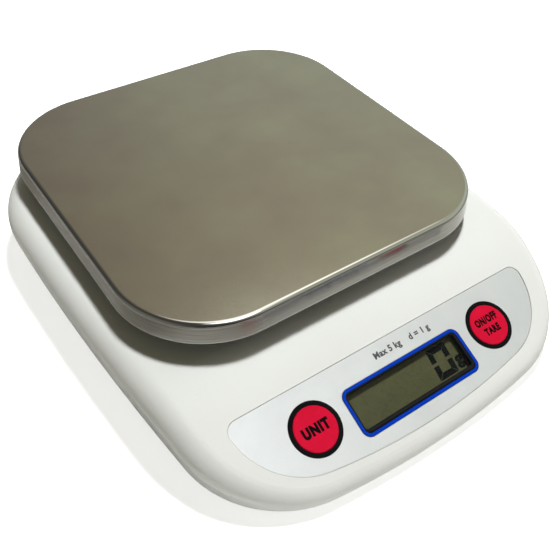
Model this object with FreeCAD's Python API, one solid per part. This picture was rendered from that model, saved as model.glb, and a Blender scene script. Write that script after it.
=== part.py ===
import FreeCAD, Part

import math
import os

V = FreeCAD.Vector
X_AXIS = V(1, 0, 0)
Z_AXIS = V(0, 0, 1)

# All lengths are in millimetres. The origin lies on the table, under the middle of
# the housing. X runs to the right, Y to the back and Z up.

# Gaps and margins that set the overall sizes, with the sizes of the pieces below
FOOT_DROP = 1.2
CELL_MOUNT_HEIGHT = 4.8
CELL_ROOF_GAP = 4.1
PAN_DECK_GAP = 6.7
PAN_SIDE_MARGIN = 10.0
PAN_BACK_MARGIN = 4.75
FRONT_APRON = 53.25

# Plan outline of the housing's foot: four long curves and four round corners
SIDE_RADIUS = 1200.0
SIDE_WIDEST_Y = 53.0
FRONT_RADIUS = 335.0
BACK_RADIUS = 900.0
FRONT_CORNER_RADIUS = 40.0
BACK_CORNER_RADIUS = 50.0

# Housing shells
WALL = 2.2
WALL_LEAN = 4.6
RIM_ROUNDING = 5.2
DECK_ROUNDING = 7.5
FOLD_RADIUS = 50.0
WALL_FOOT_Z = 3.4
FLANGE_INSET = 0.4
FOOT_EDGE_ROUNDING = 2.0
TONGUE_FIT = 0.15
TONGUE_THICKNESS = 1.4
TONGUE_TOP_Z = 4.4

# Control panel: a plane that falls to the front
PANEL_TILT = 22.8
PANEL_SINK = 0.3
CUT_REACH = 5.0
OVERLAY_THICKNESS = 0.5
OVERLAY_FIT = 0.15
OVERLAY_BACK = 15.1
OVERLAY_FRONT = 17.4
OVERLAY_FRONT_RADIUS = 260.0
OVERLAY_CORNER_RADIUS = 28.0
OVERLAY_SIDE_MARGIN = 18.6
OVERLAY_RIM_GAP = 0.11
OVERLAY_BACK_CORNER_RADIUS = 4.0

# Display, measured along the panel
WINDOW_KEY_GAP = 4.0
WINDOW_HEIGHT = 17.7
WINDOW_THICKNESS = 1.0
WINDOW_CORNER = 3.2
WINDOW_SHIFT = 2.87
WINDOW_FIT = 0.1
WINDOW_LEDGE = 1.8
HOLDER_END_WALL = 2.3
HOLDER_SIDE_WALL = 2.3
HOLDER_LIP = 0.6
HOLDER_OPENING_MARGIN = 1.0
LCD_END_MARGIN = 1.3
LCD_SIDE_MARGIN = 0.65
LCD_THICKNESS = 1.8
LCD_FIT = 0.2
CONTACT_STRIP_INSET = 1.0
CONTACT_STRIP_WIDTH = 2.0
CONTACT_STRIP_HEIGHT = 2.0

# Main circuit board
BOARD_THICKNESS = 1.2
BOARD_KEY_MARGIN = 14.4
BOARD_FLOOR_GAP = 0.42
BOARD_BACK = 12.0
BOARD_FRONT = 13.5
BOARD_CORNER = 2.0
BOARD_SCREW_INSET = 3.2
BOARD_SCREW_BACK_INSET = 4.0
BOARD_SCREW_FRONT_INSET = 6.0
BOARD_POST_RADIUS = 2.6
BOARD_SCREW_RADIUS = 1.1
BOARD_SCREW_LENGTH = 4.6
BOARD_SCREW_HEAD_RADIUS = 2.1
BOARD_SCREW_HEAD_HEIGHT = 1.5
CHIP_RADIUS = 7.0
CHIP_HEIGHT = 1.6
CHIP_ROUNDING = 0.8
CHIP_V = 3.0
CAPACITOR_RADIUS = 2.5
CAPACITOR_HEIGHT = 6.5
CAPACITOR_X = (18.0, 25.0)
CAPACITOR_V = 6.5
CRYSTAL_LENGTH = 8.0
CRYSTAL_WIDTH = 3.2
CRYSTAL_HEIGHT = 2.4
CRYSTAL_CORNER = 1.0
CRYSTAL_X = -20.0
CRYSTAL_V = 6.0

# Keys
KEY_SIDE_MARGIN = 44.9
KEY_RING_RADIUS = 9.4
KEY_RING_WIDTH = 1.55
KEY_RING_FIT = 0.05
KEY_RING_STAND = 0.1
KEY_STAND = 0.35
KEY_GAP = 0.1
KEY_CROWN = 0.3
KEY_FLANGE_INSET = 0.4
KEY_FLANGE_GAP = 0.2
KEY_FLANGE_THICKNESS = 0.9
KEY_TRAVEL = 0.4
SWITCH_SIZE = 6.0
SWITCH_STEM_STAND = 0.8
SWITCH_STEM_RADIUS = 1.7
SWITCH_STEM_FIT = 0.05
SWITCH_STEM_SINK = 0.6
SWITCH_FLOOR_GAP = 0.2

# Weighing pan and the support under it
PAN_HALF_WIDTH = 75.0
PAN_CORNER_RADIUS = 35.4
PAN_SHEET = 0.8
PAN_SKIRT = 8.3
PAN_ROUNDING = 1.8
PAN_FLARE = 0.95
PAN_EDGE_ROUNDING = 0.25
PAD_RADIUS = 6.0
PAD_STAND = 0.8
PAD_SEAT = 0.4
PAD_INSET = 23.0
SUPPORT_FIT = 0.5
SUPPORT_PLATE = 3.0
SUPPORT_RIM = 2.0
SUPPORT_RIM_DROP = 2.9
SUPPORT_EDGE = 1.5
RIB_THICKNESS = 2.4
RIB_DROP = 6.0
RIB_END_GAP = 9.0
RIB_TURNS = (0, 45, 90, 135)
SPINE_WIDTH = 20.0
SPINE_DROP = 7.4
SPINE_BACK_GAP = 27.0
HUB_MARGIN = 2.0
DECK_OPENING_GAP = 3.0
DECK_OPENING_CORNER = 4.0

# Load cell and what holds it
CELL_LENGTH = 80.0
CELL_SIDE = 12.7
CELL_HOLE_INSET = 5.0
CELL_FREE_SPAN = 30.0
CELL_BORE_RADIUS = 4.75
CELL_BORE_SPREAD = 8.0
CELL_SLOT = 4.0
SPACER_THICKNESS = 2.5
MOUNT_BLOCK_MARGIN = 3.6
GAUGE_LENGTH = 7.0
GAUGE_WIDTH = 4.0
GAUGE_THICKNESS = 0.1
CELL_SCREW_RADIUS = 2.0
CELL_SCREW_LENGTH = 14.0
CELL_SCREW_HEAD_RADIUS = 3.6
CELL_SCREW_HEAD_HEIGHT = 2.6
CELL_SCREW_GRIP = 2.0
PLATFORM_SCREW_END_GAP = 2.7
PLATFORM_SCREW_GRIP = 4.0
PLATFORM_SCREW_CLEARANCE = 0.08
STOP_GAP = 0.5
STOP_LENGTH = 6.4
STOP_BOSS_RADIUS = 5.0
STOP_BOSS_GAP = 2.1

# General fits for screws and their heads
SCREW_FIT = 0.02
SHANK_CLEARANCE = 0.2
HEAD_CLEARANCE = 0.4
SOCKET_SHARE = 0.5
SOCKET_DEPTH = 1.2

# Housing screws, with their distances from the side, front and back of the housing
FRONT_SCREW_SIDE = 17.0
FRONT_SCREW_END = 42.0
MIDDLE_SCREW_SIDE = 13.0
MIDDLE_SCREW_SHIFT = 4.25
BACK_SCREW_SIDE = 19.0
BACK_SCREW_END = 34.0
HOUSING_SCREW_RADIUS = 1.5
HOUSING_SCREW_LENGTH = 11.5
HOUSING_SCREW_HEAD_RADIUS = 2.8
HOUSING_SCREW_HEAD_HEIGHT = 2.1
HOUSING_SCREW_SEAT_Z = 5.5
BOSS_RADIUS = 3.5
BOSS_FOOT_Z = 9.0
BOSS_END_GAP = 1.0
POST_RADIUS = 4.6

# Rubber feet
FRONT_FOOT_SIDE = 27.0
FRONT_FOOT_END = 20.0
BACK_FOOT_SIDE = 39.0
BACK_FOOT_END = 16.0
FOOT_RADIUS = 7.0
FOOT_SEAT = 0.8
FOOT_FIT = 0.1
FOOT_ROUNDING = 0.5

# Battery bay, two AA batteries and the cover
BATTERY_RADIUS = 7.1
BATTERY_LENGTH = 50.5
NUB_RADIUS = 2.7
NUB_LENGTH = 1.2
BATTERY_ROUNDING = 0.6
BATTERY_GAP = 0.6
BATTERY_SIDE_GAP = 0.75
BATTERY_FLOOR_GAP = 0.7
BATTERY_ROOF_GAP = 0.4
BAY_SHIFT = 6.45
BAY_END_ROOM = 3.35
BAY_WALL = 2.4
BAY_ROOF = 1.6
COVER_LEDGE = 1.4
COVER_THICKNESS = 1.7
COVER_GAP = 0.2
COVER_LEDGE_GAP = 0.2
COVER_CORNER = 2.0
TAB_X = 18.0
TAB_WIDTH = 8.0
TAB_REACH = 2.0
TAB_INSIDE = 2.8
TAB_ROOT = 1.4
TAB_THICKNESS = 1.0
TAB_LIFT = 0.1
TAB_SLOT_SIDE = 0.4
TAB_SLOT_HEIGHT = 2.9
TAB_SLOT_DEPTH = 7.2
CATCH_WIDTH = 14.0
CATCH_SLIT = 1.0
CATCH_LENGTH = 7.0
CATCH_SCOOP_RADIUS = 5.0
CATCH_SCOOP_DEPTH = 0.7
CATCH_SCOOP_WIDTH = 9.4
CONTACT_THICKNESS = 0.4
CONTACT_INSET = 1.6
CONTACT_DIMPLE_RADIUS = 2.2
LEAF_WIDTH = 6.0
LEAF_END_GAP = 0.05
LEAF_ROOM_SHARE = 0.75

# Internal leads
LEAD_RADIUS = 0.65
CABLE_RADIUS = 1.3
LEAD_BEND = 2.5
LEAD_BATTERY_DROP = 0.5
LEAD_DROP = 3.0
LEAD_HOLE_GAP = 0.35
RED_LEAD_GAP = 6.6
BLACK_LEAD_GAP = 3.6
CABLE_GAP = 5.6
LEAD_PAD_V = 10.0
CABLE_START_SHIFT = 5.75

# Heights, from the table up
BASE_BOTTOM_Z = FOOT_DROP
CELL_BOTTOM_Z = BASE_BOTTOM_Z + CELL_MOUNT_HEIGHT + SPACER_THICKNESS
CELL_TOP_Z = CELL_BOTTOM_Z + CELL_SIDE
HUB_BOTTOM_Z = CELL_TOP_Z + SPACER_THICKNESS
DECK_HEIGHT = CELL_TOP_Z + CELL_ROOF_GAP + WALL
PAN_EDGE_Z = DECK_HEIGHT + PAN_DECK_GAP
TOTAL_HEIGHT = PAN_EDGE_Z + PAN_SKIRT
PAN_UNDERSIDE_Z = TOTAL_HEIGHT - PAN_SHEET
SUPPORT_TOP_Z = PAN_UNDERSIDE_Z - PAD_STAND
SUPPORT_PLATE_Z = SUPPORT_TOP_Z - SUPPORT_PLATE
CELL_SCREW_SEAT_Z = CELL_BOTTOM_Z - SPACER_THICKNESS - CELL_SCREW_GRIP
STOP_TOP_Z = CELL_BOTTOM_Z - STOP_GAP
STOP_BOSS_TOP_Z = CELL_BOTTOM_Z - STOP_BOSS_GAP

# Depths, measured down from the face of the panel
PANEL_INNER = WALL - PANEL_SINK
LCD_TOP = PANEL_INNER + HOLDER_LIP
LCD_BACK = LCD_TOP + LCD_THICKNESS
BOARD_TOP = LCD_BACK + CONTACT_STRIP_HEIGHT
BOARD_BOTTOM = BOARD_TOP + BOARD_THICKNESS
KEY_FLANGE_TOP = PANEL_INNER + KEY_FLANGE_GAP
KEY_FLANGE_BOTTOM = KEY_FLANGE_TOP + KEY_FLANGE_THICKNESS
SWITCH_TOP = KEY_FLANGE_BOTTOM + SWITCH_STEM_STAND
SWITCH_STEM_BOTTOM = SWITCH_TOP + SWITCH_STEM_SINK

# Plan of the housing, the pan and the load cell
HOUSING_HALF_WIDTH = PAN_HALF_WIDTH + PAN_SIDE_MARGIN
HOUSING_LENGTH = FRONT_APRON + 2 * PAN_HALF_WIDTH + PAN_BACK_MARGIN
FRONT_Y = -HOUSING_LENGTH / 2
BACK_Y = HOUSING_LENGTH / 2
# The wall leans out from its foot; its widest place, where the rounding starts, stands out by the spread
LEAN_ANGLE = math.atan2(WALL_LEAN, DECK_HEIGHT - WALL_FOOT_Z)
WALL_SPREAD = WALL_LEAN - DECK_ROUNDING * (1 / math.tan(math.pi / 4 - LEAN_ANGLE / 2) - 1)
PAN_CENTRE_Y = BACK_Y - PAN_BACK_MARGIN - PAN_HALF_WIDTH
PAD_REACH = PAN_HALF_WIDTH - PAD_INSET
CELL_FRONT_Y = PAN_CENTRE_Y - CELL_LENGTH / 2
CELL_BACK_Y = PAN_CENTRE_Y + CELL_LENGTH / 2
SPACER_LENGTH = (CELL_LENGTH - CELL_FREE_SPAN) / 2
CELL_HOLE_PITCH = SPACER_LENGTH - 2 * CELL_HOLE_INSET
HUB_Y = CELL_FRONT_Y + SPACER_LENGTH / 2
HUB_LENGTH = SPACER_LENGTH + 2 * HUB_MARGIN
HOUSING_SCREW_PLACES = ((HOUSING_HALF_WIDTH - FRONT_SCREW_SIDE, FRONT_Y + FRONT_SCREW_END),
                        (HOUSING_HALF_WIDTH - MIDDLE_SCREW_SIDE, PAN_CENTRE_Y - MIDDLE_SCREW_SHIFT),
                        (HOUSING_HALF_WIDTH - BACK_SCREW_SIDE, BACK_Y - BACK_SCREW_END))
FOOT_PLACES = ((HOUSING_HALF_WIDTH - FRONT_FOOT_SIDE, FRONT_Y + FRONT_FOOT_END),
               (HOUSING_HALF_WIDTH - BACK_FOOT_SIDE, BACK_Y - BACK_FOOT_END))

# Place of the panel, its keys and its display
PANEL_Y = (FRONT_Y + RIM_ROUNDING + OVERLAY_RIM_GAP
           + OVERLAY_FRONT * math.cos(math.radians(PANEL_TILT)))
PANEL_Z = (WALL_FOOT_Z + BOARD_FLOOR_GAP + BOARD_FRONT * math.sin(math.radians(PANEL_TILT))
           + BOARD_BOTTOM * math.cos(math.radians(PANEL_TILT)))
KEY_X = HOUSING_HALF_WIDTH - KEY_SIDE_MARGIN
OVERLAY_CORNER_X = HOUSING_HALF_WIDTH - OVERLAY_SIDE_MARGIN - OVERLAY_CORNER_RADIUS
WINDOW_WIDTH = 2 * (KEY_X - KEY_RING_RADIUS - WINDOW_KEY_GAP)
LCD_WIDTH = WINDOW_WIDTH + 2 * LCD_END_MARGIN
LCD_HEIGHT = WINDOW_HEIGHT + 2 * LCD_SIDE_MARGIN
HOLDER_WIDTH = LCD_WIDTH + 2 * (LCD_FIT + HOLDER_END_WALL)
HOLDER_HEIGHT = LCD_HEIGHT + 2 * (LCD_FIT + HOLDER_SIDE_WALL)
CONTACT_STRIP_LENGTH = LCD_WIDTH - 2 * CONTACT_STRIP_INSET
BOARD_WIDTH = 2 * (KEY_X + BOARD_KEY_MARGIN)
BOARD_SCREW_X = BOARD_WIDTH / 2 - BOARD_SCREW_INSET

# Battery bay, between the board and the load cell
BATTERY_PITCH = 2 * BATTERY_RADIUS + BATTERY_GAP
BATTERY_Z = BASE_BOTTOM_Z + COVER_THICKNESS + BATTERY_FLOOR_GAP + BATTERY_RADIUS
BAY_Y = (PANEL_Y + CELL_FRONT_Y) / 2 + BAY_SHIFT
BAY_HALF_LENGTH = BATTERY_LENGTH / 2 + BAY_END_ROOM + CONTACT_THICKNESS
BAY_HALF_DEPTH = BATTERY_PITCH / 2 + BATTERY_RADIUS + BATTERY_SIDE_GAP
BAY_CEILING_Z = BATTERY_Z + BATTERY_RADIUS + BATTERY_ROOF_GAP
CONTACT_SIZE = 2 * (BATTERY_RADIUS - CONTACT_INSET)
LEAD_Z = BATTERY_Z - LEAD_BATTERY_DROP
RED_LEAD_X = -BAY_HALF_LENGTH - BAY_WALL - RED_LEAD_GAP
BLACK_LEAD_X = -BAY_HALF_LENGTH - BAY_WALL - BLACK_LEAD_GAP
CABLE_X = BAY_HALF_LENGTH + BAY_WALL + CABLE_GAP
CABLE_START_Y = PAN_CENTRE_Y + CABLE_START_SHIFT


def arc(centre, radius, start, end):
    """Short way round from start to end about the centre."""
    middle = (start - centre).normalize() + (end - centre).normalize()
    return Part.Arc(start, centre + middle.normalize() * radius, end).toShape()


def meeting_point(first, first_reach, second, second_reach, side):
    """Point at given distances from two centres, on the side that the vector points to."""
    across = second - first
    gap = across.Length
    along = (gap ** 2 + first_reach ** 2 - second_reach ** 2) / (2 * gap)
    off = math.sqrt(first_reach ** 2 - along ** 2)
    across.normalize()
    normal = V(-across.y, across.x, 0)
    if normal.dot(side) < 0:
        normal = normal * -1
    return first + across * along + normal * off


def outer_point(centre, corner_centre, radius):
    """Where an arc about the centre meets the corner arc that it is tangent to."""
    return centre + (corner_centre - centre).normalize() * radius


def mirrored(point):
    return V(-point.x, point.y, point.z)


def solid_from(edges, height):
    return Part.Face(Part.Wire(Part.__sortEdges__(edges))).extrude(V(0, 0, height))


def housing_outline(inset, z):
    """Plan outline of the housing's foot, moved in by the inset and up to a height."""
    side = V(HOUSING_HALF_WIDTH - SIDE_RADIUS, SIDE_WIDEST_Y, 0)
    front = V(0, FRONT_Y + FRONT_RADIUS, 0)
    back = V(0, BACK_Y - WALL_SPREAD - BACK_RADIUS, 0)
    front_corner = meeting_point(side, SIDE_RADIUS - FRONT_CORNER_RADIUS,
                                 front, FRONT_RADIUS - FRONT_CORNER_RADIUS, V(1, -1, 0))
    back_corner = meeting_point(side, SIDE_RADIUS - BACK_CORNER_RADIUS,
                                back, BACK_RADIUS - BACK_CORNER_RADIUS, V(1, 1, 0))
    side_front = outer_point(side, front_corner, SIDE_RADIUS - inset)
    side_back = outer_point(side, back_corner, SIDE_RADIUS - inset)
    front_end = outer_point(front, front_corner, FRONT_RADIUS - inset)
    back_end = outer_point(back, back_corner, BACK_RADIUS - inset)
    front_round = FRONT_CORNER_RADIUS - inset
    back_round = BACK_CORNER_RADIUS - inset
    edges = [arc(front, FRONT_RADIUS - inset, mirrored(front_end), front_end),
             arc(back, BACK_RADIUS - inset, mirrored(back_end), back_end)]
    for turn in (lambda point: point, mirrored):
        edges.append(arc(turn(side), SIDE_RADIUS - inset, turn(side_front), turn(side_back)))
        edges.append(arc(turn(front_corner), front_round, turn(side_front), turn(front_end)))
        edges.append(arc(turn(back_corner), back_round, turn(side_back), turn(back_end)))
    outline = Part.Wire(Part.__sortEdges__(edges))
    outline.translate(V(0, 0, z))
    return outline


def housing_prism(inset, bottom, top):
    """Upright prism on the outline of the housing's foot, moved in by the inset."""
    return Part.Face(housing_outline(inset, bottom)).extrude(V(0, 0, top - bottom))


def top_profile(drop):
    """Everything below the top surface: level deck, round fold and sloping front."""
    tilt = math.radians(PANEL_TILT)
    normal = V(0, -math.sin(tilt), math.cos(tilt))
    slope_point = V(0, PANEL_Y, PANEL_Z) + normal * PANEL_SINK
    fold_y = slope_point.y + (DECK_HEIGHT - slope_point.z) / math.tan(tilt)
    centre = V(0, fold_y + FOLD_RADIUS * math.tan(tilt / 2), DECK_HEIGHT - FOLD_RADIUS)
    deck_end = centre + Z_AXIS * (FOLD_RADIUS - drop)
    slope_end = centre + normal * (FOLD_RADIUS - drop)
    reach = HOUSING_LENGTH
    slope_far = slope_end + V(0, -math.cos(tilt), -math.sin(tilt)) * reach
    deck_far = deck_end + V(0, reach, 0)
    below = V(0, 0, -reach)
    edges = [Part.makeLine(deck_far, deck_end),
             arc(centre, FOLD_RADIUS - drop, deck_end, slope_end),
             Part.makeLine(slope_end, slope_far),
             Part.makeLine(slope_far, slope_far + below),
             Part.makeLine(slope_far + below, deck_far + below * 2),
             Part.makeLine(deck_far + below * 2, deck_far)]
    face = Part.Face(Part.Wire(edges))
    face.translate(V(-reach, 0, 0))
    return face.extrude(V(2 * reach, 0, 0))


def rim_rounding(z, inset):
    """Radius of the top edge, which grows from the front edge to the deck."""
    low = PANEL_Z - OVERLAY_FRONT * math.sin(math.radians(PANEL_TILT))
    share = min(1, max(0, (z - low) / (DECK_HEIGHT - DECK_ROUNDING - low)))
    return RIM_ROUNDING + (DECK_ROUNDING - RIM_ROUNDING) * share - inset


def runs_left_round(edge):
    """Whether a curve runs anticlockwise about the origin, seen from above."""
    start, end = [edge.valueAt(place) for place in edge.ParameterRange]
    return start.x * end.y > start.y * end.x


def rim_rounded(body, inset):
    """The body with its top edge rounded all round, by a radius that differs along it."""
    document = FreeCAD.newDocument()
    plain = document.addObject("Part::Feature", "plain")
    plain.Shape = body
    rounded = document.addObject("Part::Fillet", "rounded")
    rounded.Base = plain
    rim = [(number, edge) for number, edge in enumerate(plain.Shape.Edges, 1)
           if edge.Curve.TypeId != "Part::GeomLine" and edge.BoundBox.ZMin > WALL_FOOT_Z + WALL / 2]
    rows = []
    for number, edge in rim:
        radii = [rim_rounding(edge.valueAt(end).z, inset) for end in edge.ParameterRange]
        if runs_left_round(edge) != runs_left_round(rim[0][1]):
            radii.reverse()
        rows.append((number, *radii))
    rounded.Edges = rows
    document.recompute()
    shape = rounded.Shape.copy()
    FreeCAD.closeDocument(document.Name)
    return shape


def housing_body(inset):
    """Soap-bar body of the housing, whose wall leans out from its foot up to the deck."""
    head_z = DECK_HEIGHT + WALL
    head_lean = (head_z - WALL_FOOT_Z) * math.tan(LEAN_ANGLE)
    wires = [housing_outline(inset, WALL_FOOT_Z), housing_outline(inset - head_lean, head_z)]
    return rim_rounded(Part.makeLoft(wires, True, True).common(top_profile(inset)), inset)


def rod(radius, start, end):
    """Round bar between two points."""
    return Part.makeCylinder(radius, (end - start).Length, start, end - start)


def upright(radius, x, y, bottom, top):
    return Part.makeCylinder(radius, top - bottom, V(x, y, bottom))


def block(x_size, y_size, x, y, bottom, top, corner=0):
    """Box centred on x and y, with its upright edges rounded if a corner is given."""
    box = Part.makeBox(x_size, y_size, top - bottom, V(x - x_size / 2, y - y_size / 2, bottom))
    if corner == 0:
        return box
    edges = [edge for edge in box.Edges if edge.BoundBox.ZLength > (top - bottom) / 2]
    return box.makeFillet(corner, edges)


def on_panel(shape):
    """Puts a shape drawn on a level panel face, Z up, onto the tilted panel."""
    shape.rotate(V(0, 0, 0), X_AXIS, PANEL_TILT)
    shape.translate(V(0, PANEL_Y, PANEL_Z))
    return shape


def panel_point(x, v, depth):
    """Point on the panel, v up the slope from the key line and depth below the face."""
    tilt = math.radians(PANEL_TILT)
    along = V(0, math.cos(tilt), math.sin(tilt))
    inward = V(0, math.sin(tilt), -math.cos(tilt))
    return V(x, PANEL_Y, PANEL_Z) + along * v + inward * depth


def joined(shapes):
    result = shapes[0].fuse(shapes[1:]) if len(shapes) > 1 else shapes[0]
    return result.removeSplitter()


def group(shapes):
    return Part.makeCompound(shapes)


def both_sides(places):
    return [(sign * x, y) for x, y in places for sign in (-1, 1)]


def overlay_prism(growth, bottom, top):
    """Boat-shaped panel outline: straight back, small back corners, bowed front."""
    front = V(0, OVERLAY_FRONT_RADIUS - OVERLAY_FRONT, 0)
    reach = OVERLAY_FRONT_RADIUS - OVERLAY_CORNER_RADIUS
    corner = V(OVERLAY_CORNER_X, front.y - math.sqrt(reach ** 2 - OVERLAY_CORNER_X ** 2), 0)
    small_y = OVERLAY_BACK - OVERLAY_BACK_CORNER_RADIUS
    small_reach = OVERLAY_CORNER_RADIUS - OVERLAY_BACK_CORNER_RADIUS
    small_x = corner.x + math.sqrt(small_reach ** 2 - (small_y - corner.y) ** 2)
    small = V(small_x, small_y, 0)
    front_end = outer_point(front, corner, OVERLAY_FRONT_RADIUS + growth)
    side = outer_point(corner, small, OVERLAY_CORNER_RADIUS + growth)
    back_end = V(small_x, OVERLAY_BACK + growth, 0)
    edges = [arc(front, OVERLAY_FRONT_RADIUS + growth, mirrored(front_end), front_end),
             Part.makeLine(mirrored(back_end), back_end)]
    for turn in (lambda point: point, mirrored):
        edges.append(arc(turn(corner), OVERLAY_CORNER_RADIUS + growth, turn(front_end), turn(side)))
        edges.append(arc(turn(small), OVERLAY_BACK_CORNER_RADIUS + growth, turn(side), turn(back_end)))
    prism = solid_from(edges, top - bottom)
    prism.translate(V(0, 0, bottom))
    return prism


def window_block(growth, bottom, top):
    return block(WINDOW_WIDTH + 2 * growth, WINDOW_HEIGHT + 2 * growth, 0, -WINDOW_SHIFT,
                 bottom, top, WINDOW_CORNER + growth)


def board_screw_places():
    back = BOARD_BACK - BOARD_SCREW_BACK_INSET
    front = BOARD_FRONT - BOARD_SCREW_FRONT_INSET
    return both_sides(((BOARD_SCREW_X, back), (BOARD_SCREW_X, -front)))


def panel_cuts():
    """Recess for the overlay and the holes for the window and the keys."""
    above = PANEL_SINK + CUT_REACH
    below = PANEL_INNER + CUT_REACH
    cuts = [overlay_prism(OVERLAY_FIT, -OVERLAY_THICKNESS, above),
            window_block(WINDOW_FIT, -WINDOW_THICKNESS, above),
            window_block(-WINDOW_LEDGE, -below, above)]
    for sign in (-1, 1):
        cuts.append(upright(KEY_RING_RADIUS + KEY_RING_FIT, sign * KEY_X, 0, -below, above))
    return on_panel(joined(cuts))


def board_posts():
    """Posts under the panel that carry the circuit board."""
    posts = []
    for x, v in board_screw_places():
        post = upright(BOARD_POST_RADIUS, x, v, -BOARD_TOP, -PANEL_INNER + WALL / 2)
        bore = upright(BOARD_SCREW_RADIUS + SCREW_FIT, x, v, -BOARD_TOP, -PANEL_INNER)
        posts.append(post.cut(bore))
    return on_panel(joined(posts))


def upper_housing():
    outer = housing_body(0)
    inner = housing_body(WALL)
    opening = block(SPINE_WIDTH + 2 * DECK_OPENING_GAP, HUB_LENGTH + 2 * DECK_OPENING_GAP,
                    0, HUB_Y, DECK_HEIGHT - 2 * WALL, DECK_HEIGHT + WALL, DECK_OPENING_CORNER)
    shell = outer.cut(inner).cut([opening, panel_cuts()])
    bosses = []
    bores = []
    for x, y in both_sides(HOUSING_SCREW_PLACES):
        bosses.append(upright(BOSS_RADIUS, x, y, BOSS_FOOT_Z, DECK_HEIGHT).common(outer))
        bores.append(upright(HOUSING_SCREW_RADIUS + SCREW_FIT, x, y, BOSS_FOOT_Z,
                             HOUSING_SCREW_SEAT_Z + HOUSING_SCREW_LENGTH + BOSS_END_GAP))
    return joined([shell, board_posts()] + bosses).cut(bores)


def battery_bay():
    """Outside of the battery bay, as a closed block that stands on the floor."""
    return block(2 * (BAY_HALF_LENGTH + BAY_WALL), 2 * (BAY_HALF_DEPTH + BAY_WALL), 0, BAY_Y,
                 BASE_BOTTOM_Z, BAY_CEILING_Z + BAY_ROOF, BAY_WALL)


def battery_bay_cuts():
    ledge_z = BASE_BOTTOM_Z + COVER_THICKNESS + COVER_LEDGE_GAP
    hollow = block(2 * BAY_HALF_LENGTH, 2 * BAY_HALF_DEPTH, 0, BAY_Y, BASE_BOTTOM_Z, BAY_CEILING_Z)
    recess = block(2 * (BAY_HALF_LENGTH + COVER_LEDGE), 2 * (BAY_HALF_DEPTH + COVER_LEDGE),
                   0, BAY_Y, BASE_BOTTOM_Z, ledge_z, COVER_CORNER)
    cuts = [hollow, recess]
    tab_y = BAY_Y - BAY_HALF_DEPTH - BAY_WALL
    for sign in (-1, 1):
        cuts.append(block(TAB_WIDTH + 2 * TAB_SLOT_SIDE, TAB_SLOT_DEPTH, sign * TAB_X, tab_y,
                          ledge_z, ledge_z + TAB_SLOT_HEIGHT))
    wall_x = -BAY_HALF_LENGTH
    for y in (BAY_Y - BATTERY_PITCH / 2, BAY_Y + BATTERY_PITCH / 2):
        cuts.append(rod(LEAD_RADIUS + LEAD_HOLE_GAP, V(wall_x, y, LEAD_Z),
                        V(wall_x - 2 * BAY_WALL, y, LEAD_Z)))
    return cuts


def lower_housing():
    plate = housing_prism(FLANGE_INSET, BASE_BOTTOM_Z, WALL_FOOT_Z)
    bottom_rim = [edge for edge in plate.Edges if edge.BoundBox.ZMax < WALL_FOOT_Z - FLANGE_INSET]
    plate = plate.makeFillet(FOOT_EDGE_ROUNDING, bottom_rim)
    tongue_out = WALL + TONGUE_FIT
    tongue = housing_prism(tongue_out, WALL_FOOT_Z, TONGUE_TOP_Z)
    tongue = tongue.cut(housing_prism(tongue_out + TONGUE_THICKNESS, WALL_FOOT_Z, TONGUE_TOP_Z))
    mount_y = CELL_BACK_Y - SPACER_LENGTH / 2
    mount = block(CELL_SIDE + 2 * MOUNT_BLOCK_MARGIN, SPACER_LENGTH + 2 * MOUNT_BLOCK_MARGIN,
                  0, mount_y, BASE_BOTTOM_Z, CELL_BOTTOM_Z - SPACER_THICKNESS, MOUNT_BLOCK_MARGIN)
    stop = upright(STOP_BOSS_RADIUS, 0, HUB_Y, BASE_BOTTOM_Z, STOP_BOSS_TOP_Z)
    solids = [plate, tongue, mount, stop, battery_bay()]
    cuts = battery_bay_cuts()
    cuts.append(upright(CELL_SCREW_RADIUS + SCREW_FIT, 0, HUB_Y, BASE_BOTTOM_Z, STOP_BOSS_TOP_Z))
    for x, y in both_sides(HOUSING_SCREW_PLACES):
        solids.append(upright(POST_RADIUS, x, y, BASE_BOTTOM_Z, BOSS_FOOT_Z))
        cuts.append(upright(HOUSING_SCREW_HEAD_RADIUS + HEAD_CLEARANCE, x, y,
                            BASE_BOTTOM_Z, HOUSING_SCREW_SEAT_Z))
        cuts.append(upright(HOUSING_SCREW_RADIUS + SHANK_CLEARANCE, x, y,
                            BASE_BOTTOM_Z, BOSS_FOOT_Z))
    for y in cell_holes(CELL_BACK_Y, -1):
        cuts.append(upright(CELL_SCREW_HEAD_RADIUS + HEAD_CLEARANCE, 0, y,
                            BASE_BOTTOM_Z, CELL_SCREW_SEAT_Z))
        cuts.append(upright(CELL_SCREW_RADIUS + SHANK_CLEARANCE, 0, y,
                            BASE_BOTTOM_Z, CELL_BOTTOM_Z))
    for x, y in both_sides(FOOT_PLACES):
        cuts.append(upright(FOOT_RADIUS + FOOT_FIT, x, y, BASE_BOTTOM_Z, BASE_BOTTOM_Z + FOOT_SEAT))
    return joined(solids).cut(cuts)


def rubber_feet():
    feet = []
    for x, y in both_sides(FOOT_PLACES):
        foot = upright(FOOT_RADIUS, x, y, 0, BASE_BOTTOM_Z + FOOT_SEAT)
        rim = [edge for edge in foot.Edges if edge.BoundBox.ZMax < FOOT_ROUNDING]
        feet.append(foot.makeFillet(FOOT_ROUNDING, rim))
    return group(feet)


def screw(place, direction, radius, length, head_radius, head_height):
    """Screw whose head seats at the place and whose shank runs along the direction."""
    end = place + direction * length
    top = place - direction * head_height
    head = rod(head_radius, top, place)
    socket = rod(head_radius * SOCKET_SHARE, top, top + direction * SOCKET_DEPTH)
    return head.fuse(rod(radius, place, end)).cut(socket)


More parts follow.
